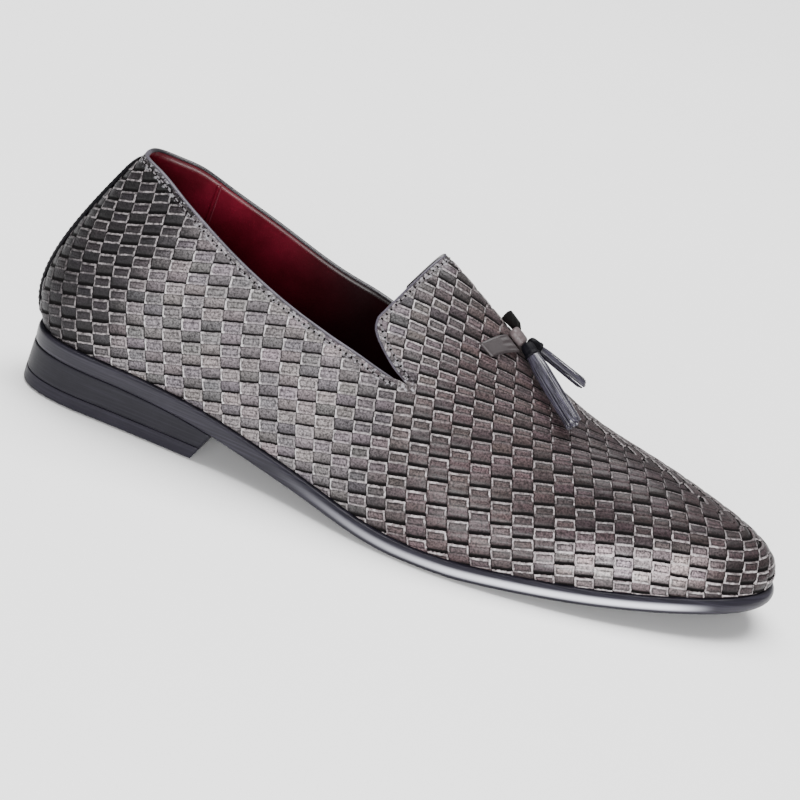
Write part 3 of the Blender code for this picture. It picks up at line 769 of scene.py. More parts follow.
@dataclass(frozen=True)
class WovenLeather(Finish):
    """Plates and pillows of the woven upper, with a painted sheen over the quarter."""

    name: str = "woven_leather"
    plate: Colour = (0.046, 0.040, 0.0415)
    pillow: Colour = (0.036, 0.031, 0.0325)
    # light rim of a plate: partly its own lighter edge, partly a painted highlight
    frame: Colour = (0.390, 0.355, 0.360)
    # painted glint on the left side of a plate in the quarter
    painted_glint: Colour = (0.62, 0.60, 0.61)
    fleck: Colour = (0.300, 0.290, 0.310)
    shade: Colour = (0.004, 0.003, 0.0035)
    # painted shade in the gaps between cells
    gap: Colour = (0.0010, 0.0006, 0.0007)
    zone_tints: tuple[tuple[str, Colour], ...] = (
        # painted shade at the heel
        ("heel", (0.27, 0.26, 0.29)),
        # painted sheen over the quarter
        ("quarter", (3.00, 3.08, 3.10)),
        ("front", (1.15, 0.93, 0.93)),
        # painted shade on the toe top
        ("toe", (0.50, 0.48, 0.50)),
        # painted highlight on the lowest toe rows
        ("low", (2.8, 3.2, 3.1)),
        # brighter painted highlight on their brightest row
        ("painted_highlight", (4.00, 4.30, 4.25)),
    )
    # Painted shade on the frames at the heel, at the back edge and on faces turned up.
    frame_loss: tuple[tuple[str, float], ...] = (("heel", 0.40), ("back_edge", 0.75), ("crest", 0.70))
    shake: float = 0.06
    crushed: tuple[float, float] = (2.4, 3.6)
    coat: tuple[float, float] = (0.12, 0.60)
    grain_height: float = 0.045
    fine_height: float = 0.05

    def _cells(self, g: Graph) -> Term:
        """Column and row counts, shaken a little so that no edge is quite straight."""
        spread, back = (2.0 * self.shake,) * 2 + (0.0,), (-self.shake,) * 2 + (0.0,)
        shake = g.shift("MULTIPLY_ADD", g.noise(g.place(), 420.0, output=1), spread, back)
        return g.shift("ADD", g.uv("weave"), shake)

    def _body(
        self, g: Graph, weave: dict[str, Term], grain: dict[str, Term], zones: dict[str, Term], fine: Term,
    ) -> Term:
        """Colour of plates and pillows without their marks, with each zone's painted light and shade and
        painted shade down each pillow's slope.
        """
        base = g.mix(weave["Plate"], self.pillow, self.plate)
        for zone, tint in self.zone_tints:
            base = g.mix(zones[zone], base, g.times(base, tint))
        tone = g.scaled(weave["Tone"], 0.76, 1.26) * g.scaled(g.rise((0.34, 0.66), fine), 0.32, 1.70)
        # Painted shade down the lower part of each pillow.
        tone = tone * g.scaled(grain["Cloud"], 0.75, 1.25) * (1.0 - weave["Slope"] * 0.45)
        base = g.times(base, g.grey(tone))
        return g.mix(0.09, base, g.times(base, weave["Tint"]))

    def _light(self, g: Graph, weave: dict[str, Term], zones: dict[str, Term], fine: Term) -> Term:
        """Strength of the light frame round a plate: partly the plate's own lighter rim, partly a painted
        highlight, dimmed as painted shade by zone and on the unlit sides, and broken up at random.
        """
        light = weave["Frame"]
        # Painted shade: frames dim at the heel, at the back edge and on faces turned up.
        for zone, loss in self.frame_loss:
            light = light * (1.0 - zones[zone] * loss)
        # Painted highlight on the lit sides only: in front the left and bottom sides of a frame go darker
        # except on the lowest rows, and in the quarter all but the left side.
        open_side = g.math("MAXIMUM", weave["Left"] * 0.35, weave["Sill"] * 0.95)
        light = light * (1.0 - open_side * zones["front"] * (1.0 - zones["skirt"]))
        light = light * (1.0 - (1.0 - weave["Left"]) * zones["quarter"] * 0.66)
        light = light * g.scaled(g.rise((0.34, 0.56), fine), 0.45, 1.0)
        return light * g.scaled(g.rise((0.38, 0.60), g.noise(g.place(), 560.0)), 0.28, 1.0)

    def make(self, effects: Effects) -> bpy.types.Material:
        """Build the material."""
        material, g = self.start()
        weave = g.use(effects.weave, Cells=self._cells(g))
        grain = g.use(effects.grain, Place=g.place(), Fineness=900.0)
        fine = g.noise(g.place(), 1200.0, 3.0, 0.72)
        zones = TintAndLightZones().masks(g)
        quarter = zones["quarter"]
        crush = g.fall(self.crushed, g.attribute("rim"))
        whole = 1.0 - crush
        # Marks are calmer on the crushed rim and under the painted sheen of the quarter.
        calm = (1.0 - crush * 0.75) * (1.0 - quarter * 0.30)
        light = calm * self._light(g, weave, zones, fine)
        # Painted shade in the gaps, thinner cracks over the quarter.
        gap = weave["Gap"] + (weave["Crack"] - weave["Gap"]) * quarter
        mottle = g.scaled(g.rise((0.36, 0.60), grain["Speck"]), 0.30, 0.95)
        flecks = crush * g.rise((0.53, 0.60), g.noise(g.place(), 620.0))
        base = self._body(g, weave, grain, zones, fine)
        # Marks: groove in painted shade, frame as painted highlight, painted glint on quarter frames, painted
        # shade under each plate in the quarter, light flecks and dark pits of the crushed rim, painted shade
        # in the gaps.
        for strength, colour in (
            (weave["Groove"] * calm * mottle, self.shade),
            (light, self.frame),
            (light * weave["Left"] * quarter, self.painted_glint),
            (weave["Head"] * quarter * 0.75 * whole, self.shade),
            (flecks * 0.65, self.fleck),
            (crush * g.fall((0.34, 0.46), grain["Speck"]) * 0.8, self.shade),
            (gap * whole, self.gap),
        ):
            base = g.mix(strength, base, colour)
        self.lay(
            g, 1.0, weave["Height"] * calm + grain["Height"] * self.grain_height + fine * self.fine_height,
            Base_Color=base,
            Roughness=g.scaled(fine, 0.34, 0.56) + gap * 0.5,
            Specular_IOR_Level=0.14,
            Coat_Weight=(1.0 - gap) * g.scaled(zones["low"], *self.coat) * (1.0 - zones["back_edge"] * 0.85),
            Coat_Roughness=0.20,
        )
        return material


@dataclass(frozen=True)
class PlainLeather(Finish):
    """Smooth leather in one colour with grain and soft clouds, darker where light doesn't reach."""

    name: str
    colour: Colour
    dark: Colour
    rough: float = 0.42
    coat: float = 0.2
    grain_depth: float = 0.03
    fineness: float = 1100.0
    specular: float = 0.3
    depth_dark: float = 0.0
    deep: tuple[float, float] = (-0.096, -0.030)
    deep_colour: Colour = (0.003, 0.0004, 0.0008)
    far_dark: float = 0.0
    far: tuple[float, float] = (-0.002, 0.006)
    far_colour: Colour = (0.007, 0.006, 0.008)

    def make(self, effects: Effects) -> bpy.types.Material:
        """Build the material."""
        material, g = self.start()
        place = g.place()
        x, y, _ = g.axes(place)
        grain = g.use(effects.grain, Place=place, Fineness=self.fineness)
        base = g.mix(g.rise((0.30, 0.72), grain["Cloud"]), self.dark, self.colour)
        base = g.mix(g.fall((0.30, 0.45), grain["Speck"]) * 0.45, base, self.dark)
        # Painted shade deeper inside the shoe.
        if self.depth_dark > 0.0:
            base = g.mix(g.rise(self.deep, x) * self.depth_dark, base, self.deep_colour)
        # Painted shade on the far side.
        if self.far_dark > 0.0:
            base = g.mix(g.rise(self.far, y) * self.far_dark, base, self.far_colour)
        self.lay(
            g, self.grain_depth, grain["Height"],
            Base_Color=base,
            Roughness=g.scaled(grain["Cloud"], self.rough - 0.08, self.rough + 0.10),
            Specular_IOR_Level=self.specular,
            Coat_Weight=self.coat,
            Coat_Roughness=0.25,
        )
        return material


@dataclass(frozen=True)
class PolishedEdge(Finish):
    """Waxed edge of the sole and the heel, with fine lines of the layers, and on the sole a painted highlight
    band along the forefoot.
    """

    name: str
    colour: Colour
    streak: Colour
    rough: float = 0.46
    coat: float = 0.30
    line_depth: float = 0.04
    rubbed: Colour | None = None
    band: tuple[float, float] = (0.20, 0.46)
    band_end: tuple[float, float] = (0.52, 0.80)
    rub: tuple[float, float] = (-0.045, 0.085)
    highlight_fall: tuple[float, float] = (0.118, 0.138)

    def make(self, effects: Effects) -> bpy.types.Material:
        """Build the material."""
        material, g = self.start()
        place = g.place()
        x = g.axes(place)[0]
        strata = g.use(effects.strata, Place=place)
        grain = g.use(effects.grain, Place=place, Fineness=1500.0)
        base = g.mix(g.rise((0.42, 0.70), strata["Streak"]), self.colour, self.streak)
        base = g.mix(g.rise((0.55, 0.75), grain["Cloud"]) * 0.35, base, self.streak)
        # Painted highlight: a lighter band along the middle of the edge under the forefoot.
        if self.rubbed is not None:
            share = g.attribute("edge")
            band = g.rise(self.band, share) * g.fall(self.band_end, share)
            base = g.mix(band * (g.fall(self.highlight_fall, x) * g.rise(self.rub, x)), base, self.rubbed)
        self.lay(
            g, self.line_depth, strata["Height"] + grain["Height"] * 0.25,
            Base_Color=base,
            Roughness=g.scaled(strata["Streak"], self.rough - 0.06, self.rough + 0.16),
            Specular_IOR_Level=0.15,
            Coat_Weight=self.coat,
            Coat_Roughness=0.22,
        )
        return material


@dataclass(frozen=True)
class FringeLeather(Finish):
    """Glossy strips of the tassels, streaked along their length, with painted sheen on the brightest streaks.
    """

    name: str = "tassel_leather"
    colour: Colour = (0.036, 0.032, 0.050)
    painted_sheen: Colour = (0.098, 0.092, 0.124)
    dark: Colour = (0.007, 0.006, 0.010)

    def make(self, effects: Effects) -> bpy.types.Material:
        """Build the material."""
        material, g = self.start()
        streak = g.noise(g.stretched(g.uv("strip"), (7.0, 0.14, 1.0)), 1.0, 3.0, 0.6)
        grain = g.use(effects.grain, Place=g.place(), Fineness=1600.0)
        base = g.mix(g.rise((0.35, 0.62), streak), self.dark, self.colour)
        self.lay(
            g, 0.06, streak + grain["Height"] * 0.3,
            # Painted sheen on the brightest streaks.
            Base_Color=g.mix(g.rise((0.60, 0.78), streak) * 0.8, base, self.painted_sheen),
            Roughness=g.scaled(streak, 0.18, 0.42),
            Coat_Weight=0.5,
            Coat_Roughness=0.15,
        )
        return material


@dataclass(frozen=True)
class TwistedThread(Finish):
    """Sewing thread."""

    name: str
    colour: Colour
    dark_share: float = 0.45

    def make(self) -> bpy.types.Material:
        """Build the material."""
        material, g = self.start()
        twist = g.noise(g.place(), 3500.0)
        dark = tuple(value * self.dark_share for value in self.colour)
        colour = g.mix(twist, dark, self.colour)
        self.lay(g, 0.05, twist, Base_Color=colour, Roughness=g.scaled(twist, 0.45, 0.70))
        return material


@dataclass(frozen=True)
class FloorPaint(Finish):
    """Pale, nearly even floor."""

    name: str = "floor_paint"
    dark: Colour = (0.93, 0.93, 0.93)
    light: Colour = (0.96, 0.96, 0.96)

    def make(self) -> bpy.types.Material:
        """Build the material."""
        material, g = self.start()
        mottle = g.noise(g.place(), 6.0, 3.0)
        shader = g.tree.nodes["shader"]
        g.feed(shader.inputs["Base Color"], g.mix(mottle, self.dark, self.light))
        g.feed(shader.inputs["Roughness"], g.scaled(mottle, 0.80, 0.92))
        return material


class Wardrobe:
    """Every finish of the shoe, built once."""

    def __init__(self) -> None:
        """Build the node groups and the materials."""
        effects = Effects()
        leather = {
            "edge": (
                "edge_leather", (0.0045, 0.004, 0.006), (0.002, 0.002, 0.003), 0.50, 0.0, {"specular": 0.07}
            ),
            # rim: painted shade on the far side of the binding
            "rim": (
                "rim_leather", (0.085, 0.075, 0.098), (0.032, 0.028, 0.038), 0.40, 0.2, {"far_dark": 0.9}
            ),
            # lining: painted shade deep inside the shoe
            "lining": (
                "lining_leather", (0.140, 0.004, 0.016), (0.062, 0.0015, 0.006), 0.38, 0.18,
                {"grain_depth": 0.02, "fineness": 1400.0, "depth_dark": 0.96},
            ),
            "sock": (
                "sock_leather", (0.080, 0.003, 0.009), (0.040, 0.0015, 0.005), 0.6, 0.0, {"specular": 0.10}
            ),
            "bow": ("bow_leather", (0.037, 0.030, 0.031), (0.020, 0.016, 0.017), 0.45, 0.05, {}),
            "wrap": ("wrap_leather", (0.095, 0.074, 0.076), (0.048, 0.038, 0.039), 0.42, 0.1, {}),
            # near-black leather for the wing undersides and the far wing, also the painted shade in the needle
            # holes
            "under": (
                "bow_underside", (0.003, 0.002, 0.002), (0.001, 0.001, 0.001), 0.7, 0.0, {"specular": 0.05}
            ),
        }
        self.leather = {
            label: PlainLeather(*row, **more).make(effects) for label, (*row, more) in leather.items()
        }
        edges = {
            # sole: painted highlight band along the forefoot edge
            "sole": (
                "sole_leather", (0.009, 0.008, 0.013), (0.020, 0.018, 0.027), {"rubbed": (0.62, 0.62, 0.69)}
            ),
            "stack": (
                "heel_leather", (0.007, 0.0065, 0.010), (0.013, 0.012, 0.017), {"rough": 0.5, "coat": 0.12}
            ),
            "tread": (
                "heel_rubber", (0.010, 0.009, 0.014), (0.018, 0.016, 0.024), {"rough": 0.5, "coat": 0.1}
            ),
        }
        self.edges = {
            label: PolishedEdge(*row, **more).make(effects) for label, (*row, more) in edges.items()
        }
        self.woven = WovenLeather().make(effects)
        self.fringe = FringeLeather().make(effects)
        self.thread = TwistedThread("grey_thread", (0.170, 0.155, 0.165)).make()
        self.red_thread = TwistedThread("red_thread", (0.200, 0.020, 0.040)).make()
        self.floor = FloorPaint().make()


@dataclass
class Shape:
    """A mesh on the last: vertices in millimetres, quads and what each vertex carries.

    A quad that repeats its last corner is a triangle. Two carried numbers a vertex
    become a UV map, and one becomes a value that a material can read.
    """

    points: np.ndarray
    faces: np.ndarray
    carried: dict[str, np.ndarray] = field(default_factory=dict)

    @staticmethod
    def grid(points: np.ndarray, closed: bool = False, flip: bool = False, **carried: np.ndarray) -> Shape:
        """Shape of a grid of points.

        Args:
            points: Rows of points, with x, y, z on the last axis.
            closed: Whether the rows close on themselves.
            flip: Whether the faces turn the other way.
            carried: What each point carries, on the same grid.

        Returns:
            The shape.
        """
        rows, columns = points.shape[:2]
        i, j = np.meshgrid(np.arange(rows - 1), np.arange(columns if closed else columns - 1), indexing="ij")
        after = (j + 1) % columns
        quads = [i * columns + j, i * columns + after, (i + 1) * columns + after, (i + 1) * columns + j]
        quads = np.stack(quads, -1).reshape(-1, 4)
        flat = {
            label: np.reshape(value, (rows * columns, *value.shape[2:])) for label, value in carried.items()
        }
        return Shape(points.reshape(-1, 3), quads[:, ::-1] if flip else quads, flat)

    @staticmethod
    def capped(body: np.ndarray, ends: np.ndarray, **carried: np.ndarray) -> Shape:
        """Closed rings of points with a fan over each end.

        Args:
            body: Rings of points.
            ends: Middle of the first and of the last fan.
            carried: What each point carries, rings first and then both ends.

        Returns:
            The shape.
        """
        rows, around = body.shape[:2]
        wall = Shape.grid(body, closed=True, flip=True)
        i = np.arange(around)
        after = (i + 1) % around
        tail = (rows - 1) * around
        hub = np.full(around, rows * around)
        fans = [np.stack([i, after, hub, hub], -1), np.stack([tail + after, tail + i, hub + 1, hub + 1], -1)]
        return Shape(np.vstack([wall.points, ends]), np.vstack([wall.faces] + fans), carried)

    @staticmethod
    def joined(parts: Sequence[Shape]) -> Shape:
        """Several shapes as one."""
        starts = np.cumsum([0] + [len(part.points) for part in parts])
        faces = np.vstack([part.faces + start for part, start in zip(parts, starts)])
        carried = {
            label: np.concatenate([part.carried[label] for part in parts]) for label in parts[0].carried
        }
        return Shape(np.vstack([part.points for part in parts]), faces, carried)

    def welded(self) -> Shape:
        """Join vertices that lie on each other and drop faces that collapse."""
        spots = np.round(self.points / WELD).astype(np.int64)
        _, first, where = np.unique(spots, axis=0, return_index=True, return_inverse=True)
        a, b, c, d = where.ravel()[self.faces].T
        a, b, c, d = np.where(a == b, (b, c, d, d), (a, b, c, d))
        a, b, c, d = np.where(b == c, (a, b, d, d), (a, b, c, d))
        d = np.where(d == a, c, d)
        sound = (a != b) & (b != c) & (a != c)
        carried = {label: value[first] for label, value in self.carried.items()}
        return Shape(self.points[first], np.stack([a, b, c, d], axis=1)[sound], carried)

    def piece(self, name: str, material: bpy.types.Material, slot: str, *nodes: str) -> bpy.types.Object:
        """Make the smooth mesh object and let it ride on the shoe.

        Args:
            name: Name of the piece.
            material: Material of the piece.
            slot: Slot of the piece; not used.
            nodes: Nodes that the piece stands for.

        Returns:
            The new object.
        """
        keep = np.ones(self.faces.shape, bool)
        keep[:, 3] = self.faces[:, 2] != self.faces[:, 3]
        loops = self.faces[keep]
        mesh = bpy.data.meshes.new(name)
        mesh.vertices.add(len(self.points))
        mesh.vertices.foreach_set("co", metres(self.points).astype(np.float32).ravel())
        mesh.loops.add(len(loops))
        mesh.loops.foreach_set("vertex_index", loops.astype(np.int32))
        mesh.polygons.add(len(self.faces))
        starts = np.concatenate([[0], np.cumsum(keep.sum(axis=1))[:-1]]).astype(np.int32)
        mesh.polygons.foreach_set("loop_start", starts)
        mesh.update(calc_edges=True)
        mesh.polygons.foreach_set("use_smooth", np.ones(len(self.faces), bool))
        for label, value in self.carried.items():
            if value.ndim == 2:
                layer = mesh.uv_layers.new(name=label)
                layer.data.foreach_set("uv", value[loops].astype(np.float32).ravel())
            else:
                layer = mesh.attributes.new(label, "FLOAT", "POINT")
                layer.data.foreach_set("value", value.astype(np.float32))
        mesh.materials.append(material)
        mesh.validate()
        made = bpy.data.objects.new(name, mesh)
        bpy.context.scene.collection.objects.link(made)
        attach(made, BODY)
        if nodes:
            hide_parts(*nodes)
        LOG.info("%s: %d faces", name, len(mesh.polygons))
        return made


def lengths(path: np.ndarray) -> np.ndarray:
    """Distance along a path at each of its points."""
    return np.concatenate([[0.0], np.cumsum(np.linalg.norm(np.diff(path, axis=0), axis=1))])


def tube(path: np.ndarray, radii: np.ndarray, around: int, flat: float, up: np.ndarray) -> Shape:
    """Closed round or flat bar along a path.

    Args:
        path: Points of the centre line.
        radii: Radius at each point, across.
        around: Vertices around.
        flat: Height as a share of the width.
        up: Direction of the flat face at each point.

    Returns:
        The shape, which carries its turn and length as the map "strip".
    """
    run = unit(np.gradient(path, axis=0))
    beside = unit(np.cross(run, up))
    above = unit(np.cross(beside, run))
    turn = np.linspace(0.0, 2.0 * math.pi, around, endpoint=False)
    sines = (np.sin(turn) * flat)[None, :, None]
    ring = beside[:, None] * np.cos(turn)[None, :, None] + above[:, None] * sines
    body = path[:, None] + ring * np.asarray(radii, float)[:, None, None]
    length = lengths(path)
    turns = (np.arange(around) / around)[None, :]
    uv = np.stack(np.broadcast_arrays(turns, length[:, None]), -1).reshape(-1, 2)
    uv = np.vstack([uv, [[0.5, 0.0], [0.5, length[-1]]]])
    return Shape.capped(body, path[[0, -1]], strip=uv)


class Border(Enum):
    """Free border of a block of the upper: axis of its grid, and the line on that axis."""

    FOOT = (1, 0)
    TOP = (1, -1)
    START = (0, 0)


@dataclass
class Block:
    """Grid of places on one side of the upper, with its free borders."""

    along: np.ndarray
    up: np.ndarray
    borders: tuple[Border, ...] = ()


@dataclass
class WovenUpper:
    """Whole-cut upper: woven skin outside, leather lining inside."""

    last: Last
    chart: WeaveChart
    wardrobe: Wardrobe
    skin_depth: float = 0.95
    lining_at: float = -0.93
    lining_thick: float = 0.82
    lining_fine: float = 0.36
    flat_rim: float = 2.3
    crushed: float = 4.2
    foot_fade: tuple[float, float] = (-0.6, 1.2)
    rows_low: int = 84
    rows_high: int = 96
    back_columns: int = 290
    front_columns: int = 310
    tab_columns: int = 56

    def _blocks(self, side: Side, fine: float) -> list[Block]:
        """The four blocks of one side, at a share of the full number of rows and columns."""

        def steps(count: int, least: int, start: float = 0.0, end: float = 1.0) -> np.ndarray:
            """Even places from start to end."""
            return np.linspace(start, end, max(int(count * fine), least) + 1)

        low, high = steps(self.rows_low, 8)[None, :], steps(self.rows_high, 8)[None, :]
        notch = self.last.notch
        back = steps(self.back_columns, 12, 0.0, notch)
        front = steps(self.front_columns, 12, notch, 1.0)
        tab = steps(self.tab_columns, 8)[:, None]
        blocks = []
        for along, borders in ((back, (Border.FOOT, Border.TOP)), (front, (Border.FOOT,))):
            up = self.last.wall_top(side, along)[:, None] * low
            blocks.append(Block(np.broadcast_to(along[:, None], up.shape), up, borders))
        blocks.append(Block(*self.last.front_place(front[:, None], high)))
        blocks.append(Block(*self.last.tab_place(tab, high), (Border.FOOT, Border.START)))
        return blocks

    def _surface(self, side: Side, block: Block) -> tuple[np.ndarray, np.ndarray]:
        """Points and outward directions of a block, shared by both sides on the crown line."""
        normal = self.last.normal(side, block.along, block.up)
        if block.up[0, -1] == 1.0:
            normal[:, -1] = self.last.crown_normal(block.along[:, -1])
        return self.last.skin(side, block.along, block.up), normal

    @staticmethod
    def _rim(block: Block, points: np.ndarray, notch: np.ndarray) -> np.ndarray:
        """Distance of each point of a block to the free edge of the upper."""
        if Border.TOP in block.borders:
            step = np.linalg.norm(np.diff(points, axis=1), axis=2)
            return np.pad(np.cumsum(step[:, ::-1], axis=1)[:, ::-1], ((0, 0), (0, 1)))
        if Border.START in block.borders:
            rise = np.cumsum(np.linalg.norm(np.diff(points, axis=1), axis=2), axis=1)
            run = np.cumsum(np.linalg.norm(np.diff(points, axis=0), axis=2), axis=0)
            return np.minimum(np.pad(rise, ((0, 0), (1, 0))), np.pad(run, ((1, 0), (0, 0))))
        return np.linalg.norm(points - notch, axis=-1)

    def _skin(self, side: Side, fine: float) -> Shape:
        """Woven skin of one side, with its cell counts and distance to the edge."""
        notch = self.last.skin(side, np.array([self.last.notch]), np.array([self.last.seam_at_notch]))[0]
        parts = []
        for block in self._blocks(side, fine):
            base, normal = self._surface(side, block)
            cells = self.chart.cells(side, block.along, block.up)
            rim = self._rim(block, base, notch)
            fade = ease(self.flat_rim, self.crushed, rim)
            fade = fade * ease(*self.foot_fade, self.chart.girth(side, block.along, block.up))
            points = base + normal * (self.chart.relief(cells) * fade)[..., None]
            inward = base - normal * self.skin_depth
            for border in block.borders:
                axis, line = border.value
                edges = [np.take(values, [line], axis) for values in (inward, cells, rim, inward)]
                pairs = zip(edges, (points, cells, rim, inward))
                points, cells, rim, inward = (
                    np.concatenate(pair if line == 0 else pair[::-1], axis) for pair in pairs
                )
            parts.append(Shape.grid(points, flip=side is Side.OUTER, weave=cells, rim=rim))
        return Shape.joined(parts).welded()

    def _lining(self, fine: float) -> None:
        """Leather lining of both sides, one closed shell."""
        parts = []
        for side in Side:
            for block in self._blocks(side, fine):
                base, normal = self._surface(side, block)
                parts.append(Shape.grid(base + normal * self.lining_at, flip=side is Side.OUTER))
        shell = Shape.joined(parts).welded()
        lining = shell.piece("upper_lining", self.wardrobe.leather["lining"], "insole_leather", "upper")
        wall = lining.modifiers.new("thickness", "SOLIDIFY")
        wall.thickness = self.lining_thick * MM
        wall.offset = -1.0

    def build(self) -> None:
        """Make the skin of both sides and the lining."""
        fine = 1.0
        for side in Side:
            name = f"upper_weave_{side.name.lower()}"
            self._skin(side, fine).piece(name, self.wardrobe.woven, "woven_leather", "upper")
        self._lining(self.lining_fine)


@dataclass
class Stitching:
    """Lock stitches and needle holes along a path on the skin."""

    path: np.ndarray
    normals: np.ndarray
    pitch: float = 2.5
    length: float = 1.75
    radius: float = 0.27
    sink: float = 0.08
    hole: float = 0.50

    def __post_init__(self) -> None:
        """Measure the path."""
        self._run = lengths(self.path)
        self._count = int(self._run[-1] / self.pitch)

    def _at(self, spots: np.ndarray) -> tuple[np.ndarray, np.ndarray]:
        """Points and outward directions at distances along the path."""
        points, out = (
            np.stack([np.interp(spots, self._run, rows[:, k]) for k in range(3)], axis=-1)
            for rows in (self.path, self.normals)
        )
        return points, unit(out)

    def row(self) -> Shape:
        """The stitches, each a bar that dips into the leather at both ends."""
        parts = []
        for number in range(self._count):
            middle = (number + 0.5) * self.pitch
            line, out = self._at(middle + self.length * np.array([-0.50, -0.42, -0.2, 0.2, 0.42, 0.50]))
            lift = np.array([-0.30, 0.0, 0.12, 0.12, 0.0, -0.30]) - self.sink
            radii = self.radius * np.array([0.55, 0.85, 1.0, 1.0, 0.85, 0.55])
            parts.append(tube(line + out * lift[:, None], radii, 6, 1.0, out))
        return Shape.joined(parts)

    def holes(self) -> Shape:
        """The needle holes between the stitches, as low dark domes that paint the shade in the holes."""
        ahead = unit(np.gradient(self.path, axis=0))
        parts = []
        for number in range(self._count):
            spot = number * self.pitch
            centre, out = self._at(np.array(spot))
            line = centre + out * np.array([-0.12, -0.02, 0.05])[:, None]
            here = ahead[min(np.searchsorted(self._run, spot), len(self.path) - 1)]
            parts.append(tube(line, self.hole * np.array([1.0, 1.0, 0.72]), 9, 1.0, np.tile(here, (3, 1))))
        return Shape.joined(parts)


@dataclass
class EdgeTrim:
    """Bindings round the mouth and the tab, with their stitches, and the back strip."""

    last: Last
    chart: WeaveChart
    wardrobe: Wardrobe
    binding_end: float = 0.488
    binding_radius: float = 0.52
    binding_flat: float = 1.85
    binding_lap: float = 0.10
    binding_taper: float = 9.0
    wall: float = 1.8
    row_inset: float = 1.75
    row_lift: float = 0.06
    tab_inset: float = 0.10
    tab_side_inset: float = 0.034
    lining_seam_at: float = 0.17
    lining_seam_gap: float = 0.0042
    strip_half: float = 0.0185
    strip_thick: float = 1.15
    strip_sink: float = 0.05
    strip_row: float = 0.66

    def _round(self, along: np.ndarray, ups: Sequence[np.ndarray]) -> tuple[np.ndarray, np.ndarray]:
        """Line along the outer side and back along the inner one, with its outward directions.

        Args:
            along: Places on each side, in the order of the outer one.
            ups: Share of the way up on each side.

        Returns:
            Points and directions.
        """
        lines = []
        for side, up in zip(Side, ups):
            line = np.stack([self.last.skin(side, along, up), self.last.normal(side, along, up)])
            lines.append(line if side is Side.OUTER else line[:, :-1][:, ::-1])
        path, out = np.concatenate(lines, axis=1)
        return path, out

    def _cord(self, name: str, path: np.ndarray, out: np.ndarray, sign: float, node: str) -> None:
        """Rolled binding over an edge, thinner towards both ends."""
        away = unit(sign * np.cross(unit(np.gradient(path, axis=0)), out))
        far = lengths(path)
        end = np.minimum(far, far[-1] - far)
        radii = self.binding_radius * (0.30 + 0.70 * ease(0.0, self.binding_taper, end))
        line = path - out * (self.wall / 2.0 - 0.05) + away * (radii - self.binding_lap)[:, None]
        roll = tube(line, radii, 16, self.binding_flat, out)
        roll.piece(name, self.wardrobe.leather["rim"], "edge_leather", node)

    def _mouth_row(self, side: Side) -> Stitching:
        """Stitch line below the mouth."""
        spots = np.linspace(0.018, self.last.notch - 0.012, 400)
        top = self.last.wall_top(side, spots)
        step = 0.02
        per = self.chart.girth(side, spots, top) - self.chart.girth(side, spots, top - step)
        up = top - step * self.row_inset / per
        return Stitching(self.last.offset(side, spots, up, self.row_lift), self.last.normal(side, spots, up))

    def _tab_row(self, side: Side) -> Stitching:
        """Stitch line inside the free edge of the tab."""
        across = np.concatenate([np.linspace(0.93, self.tab_inset, 60), np.full(120, self.tab_inset)])
        rise = np.linspace(self.tab_side_inset, 0.995, 120)
        climb = np.concatenate([np.full(60, self.tab_side_inset), rise])
        along, up = self.last.tab_place(across, climb)
        return Stitching(self.last.offset(side, along, up, self.row_lift), self.last.normal(side, along, up))

    def _lining_seam(self) -> None:
        """Lapped seam of the lining on the inner side of the heel."""
        spots = np.full(60, self.lining_seam_at)
        up = np.linspace(0.20, 0.845, 60)
        normal = self.last.normal(Side.INNER, spots, up)
        for name, shift, radius, finish in (
            ("lining_lap", 0.0, 0.75, self.wardrobe.leather["lining"]),
            ("lining_lap_thread", self.lining_seam_gap, 0.22, self.wardrobe.red_thread),
        ):
            path = self.last.offset(Side.INNER, spots + shift, up, -self.wall - 0.06)
            tube(path, np.full(60, radius), 10, 0.45, normal).piece(name, finish, "insole_leather")

    def _strip_line(self, place: float, ups: np.ndarray, out: np.ndarray | float) -> np.ndarray:
        """Line up the back at a share of the strip's half width, outer side positive."""
        side = Side.OUTER if place >= 0.0 else Side.INNER
        return self.last.offset(side, np.full(len(ups), abs(place) * self.strip_half), ups, out)

    def _back_strip(self) -> None:
        """Strip over the back seam, with a stitch row near each edge."""
        ups = np.linspace(0.03, 0.925, 70)
        across = np.linspace(1.0, -1.0, 17)
        thick = self.strip_thick * (1.0 - 0.85 * np.abs(across) ** 6) * 1.1
        taper = 1.0 - 0.9 * np.abs(np.linspace(-1.0, 1.0, len(ups))) ** 30
        gap = self.last.gap
        grid = [self._strip_line(place, ups, gap + high * taper) for place, high in zip(across, thick)]
        grid += [self._strip_line(place, ups, gap - self.strip_sink) for place in across[::-1]]
        strip = Shape.grid(np.stack(grid, axis=1), closed=True, flip=True)
        width = len(grid)
        k = np.arange(len(across) - 1)
        foot = np.stack([k, k + 1, width - 2 - k, width - 1 - k], axis=1)
        strip.faces = np.vstack([strip.faces, foot, foot[:, ::-1] + (len(ups) - 1) * width])
        strip.piece("heel_strip", self.wardrobe.leather["edge"], "edge_leather", "back_strip")
        rows = []
        up = np.linspace(0.05, 0.905, 120)
        for side in Side:
            path = self._strip_line(self.strip_row * side.value, up, gap + self.strip_thick - 0.10)
            spot = np.full(len(up), self.strip_row * self.strip_half)
            rows.append(Stitching(path, self.last.normal(side, spot, up)).row())
        Shape.joined(rows).piece("heel_strip_stitches", self.wardrobe.leather["edge"], "edge_leather")

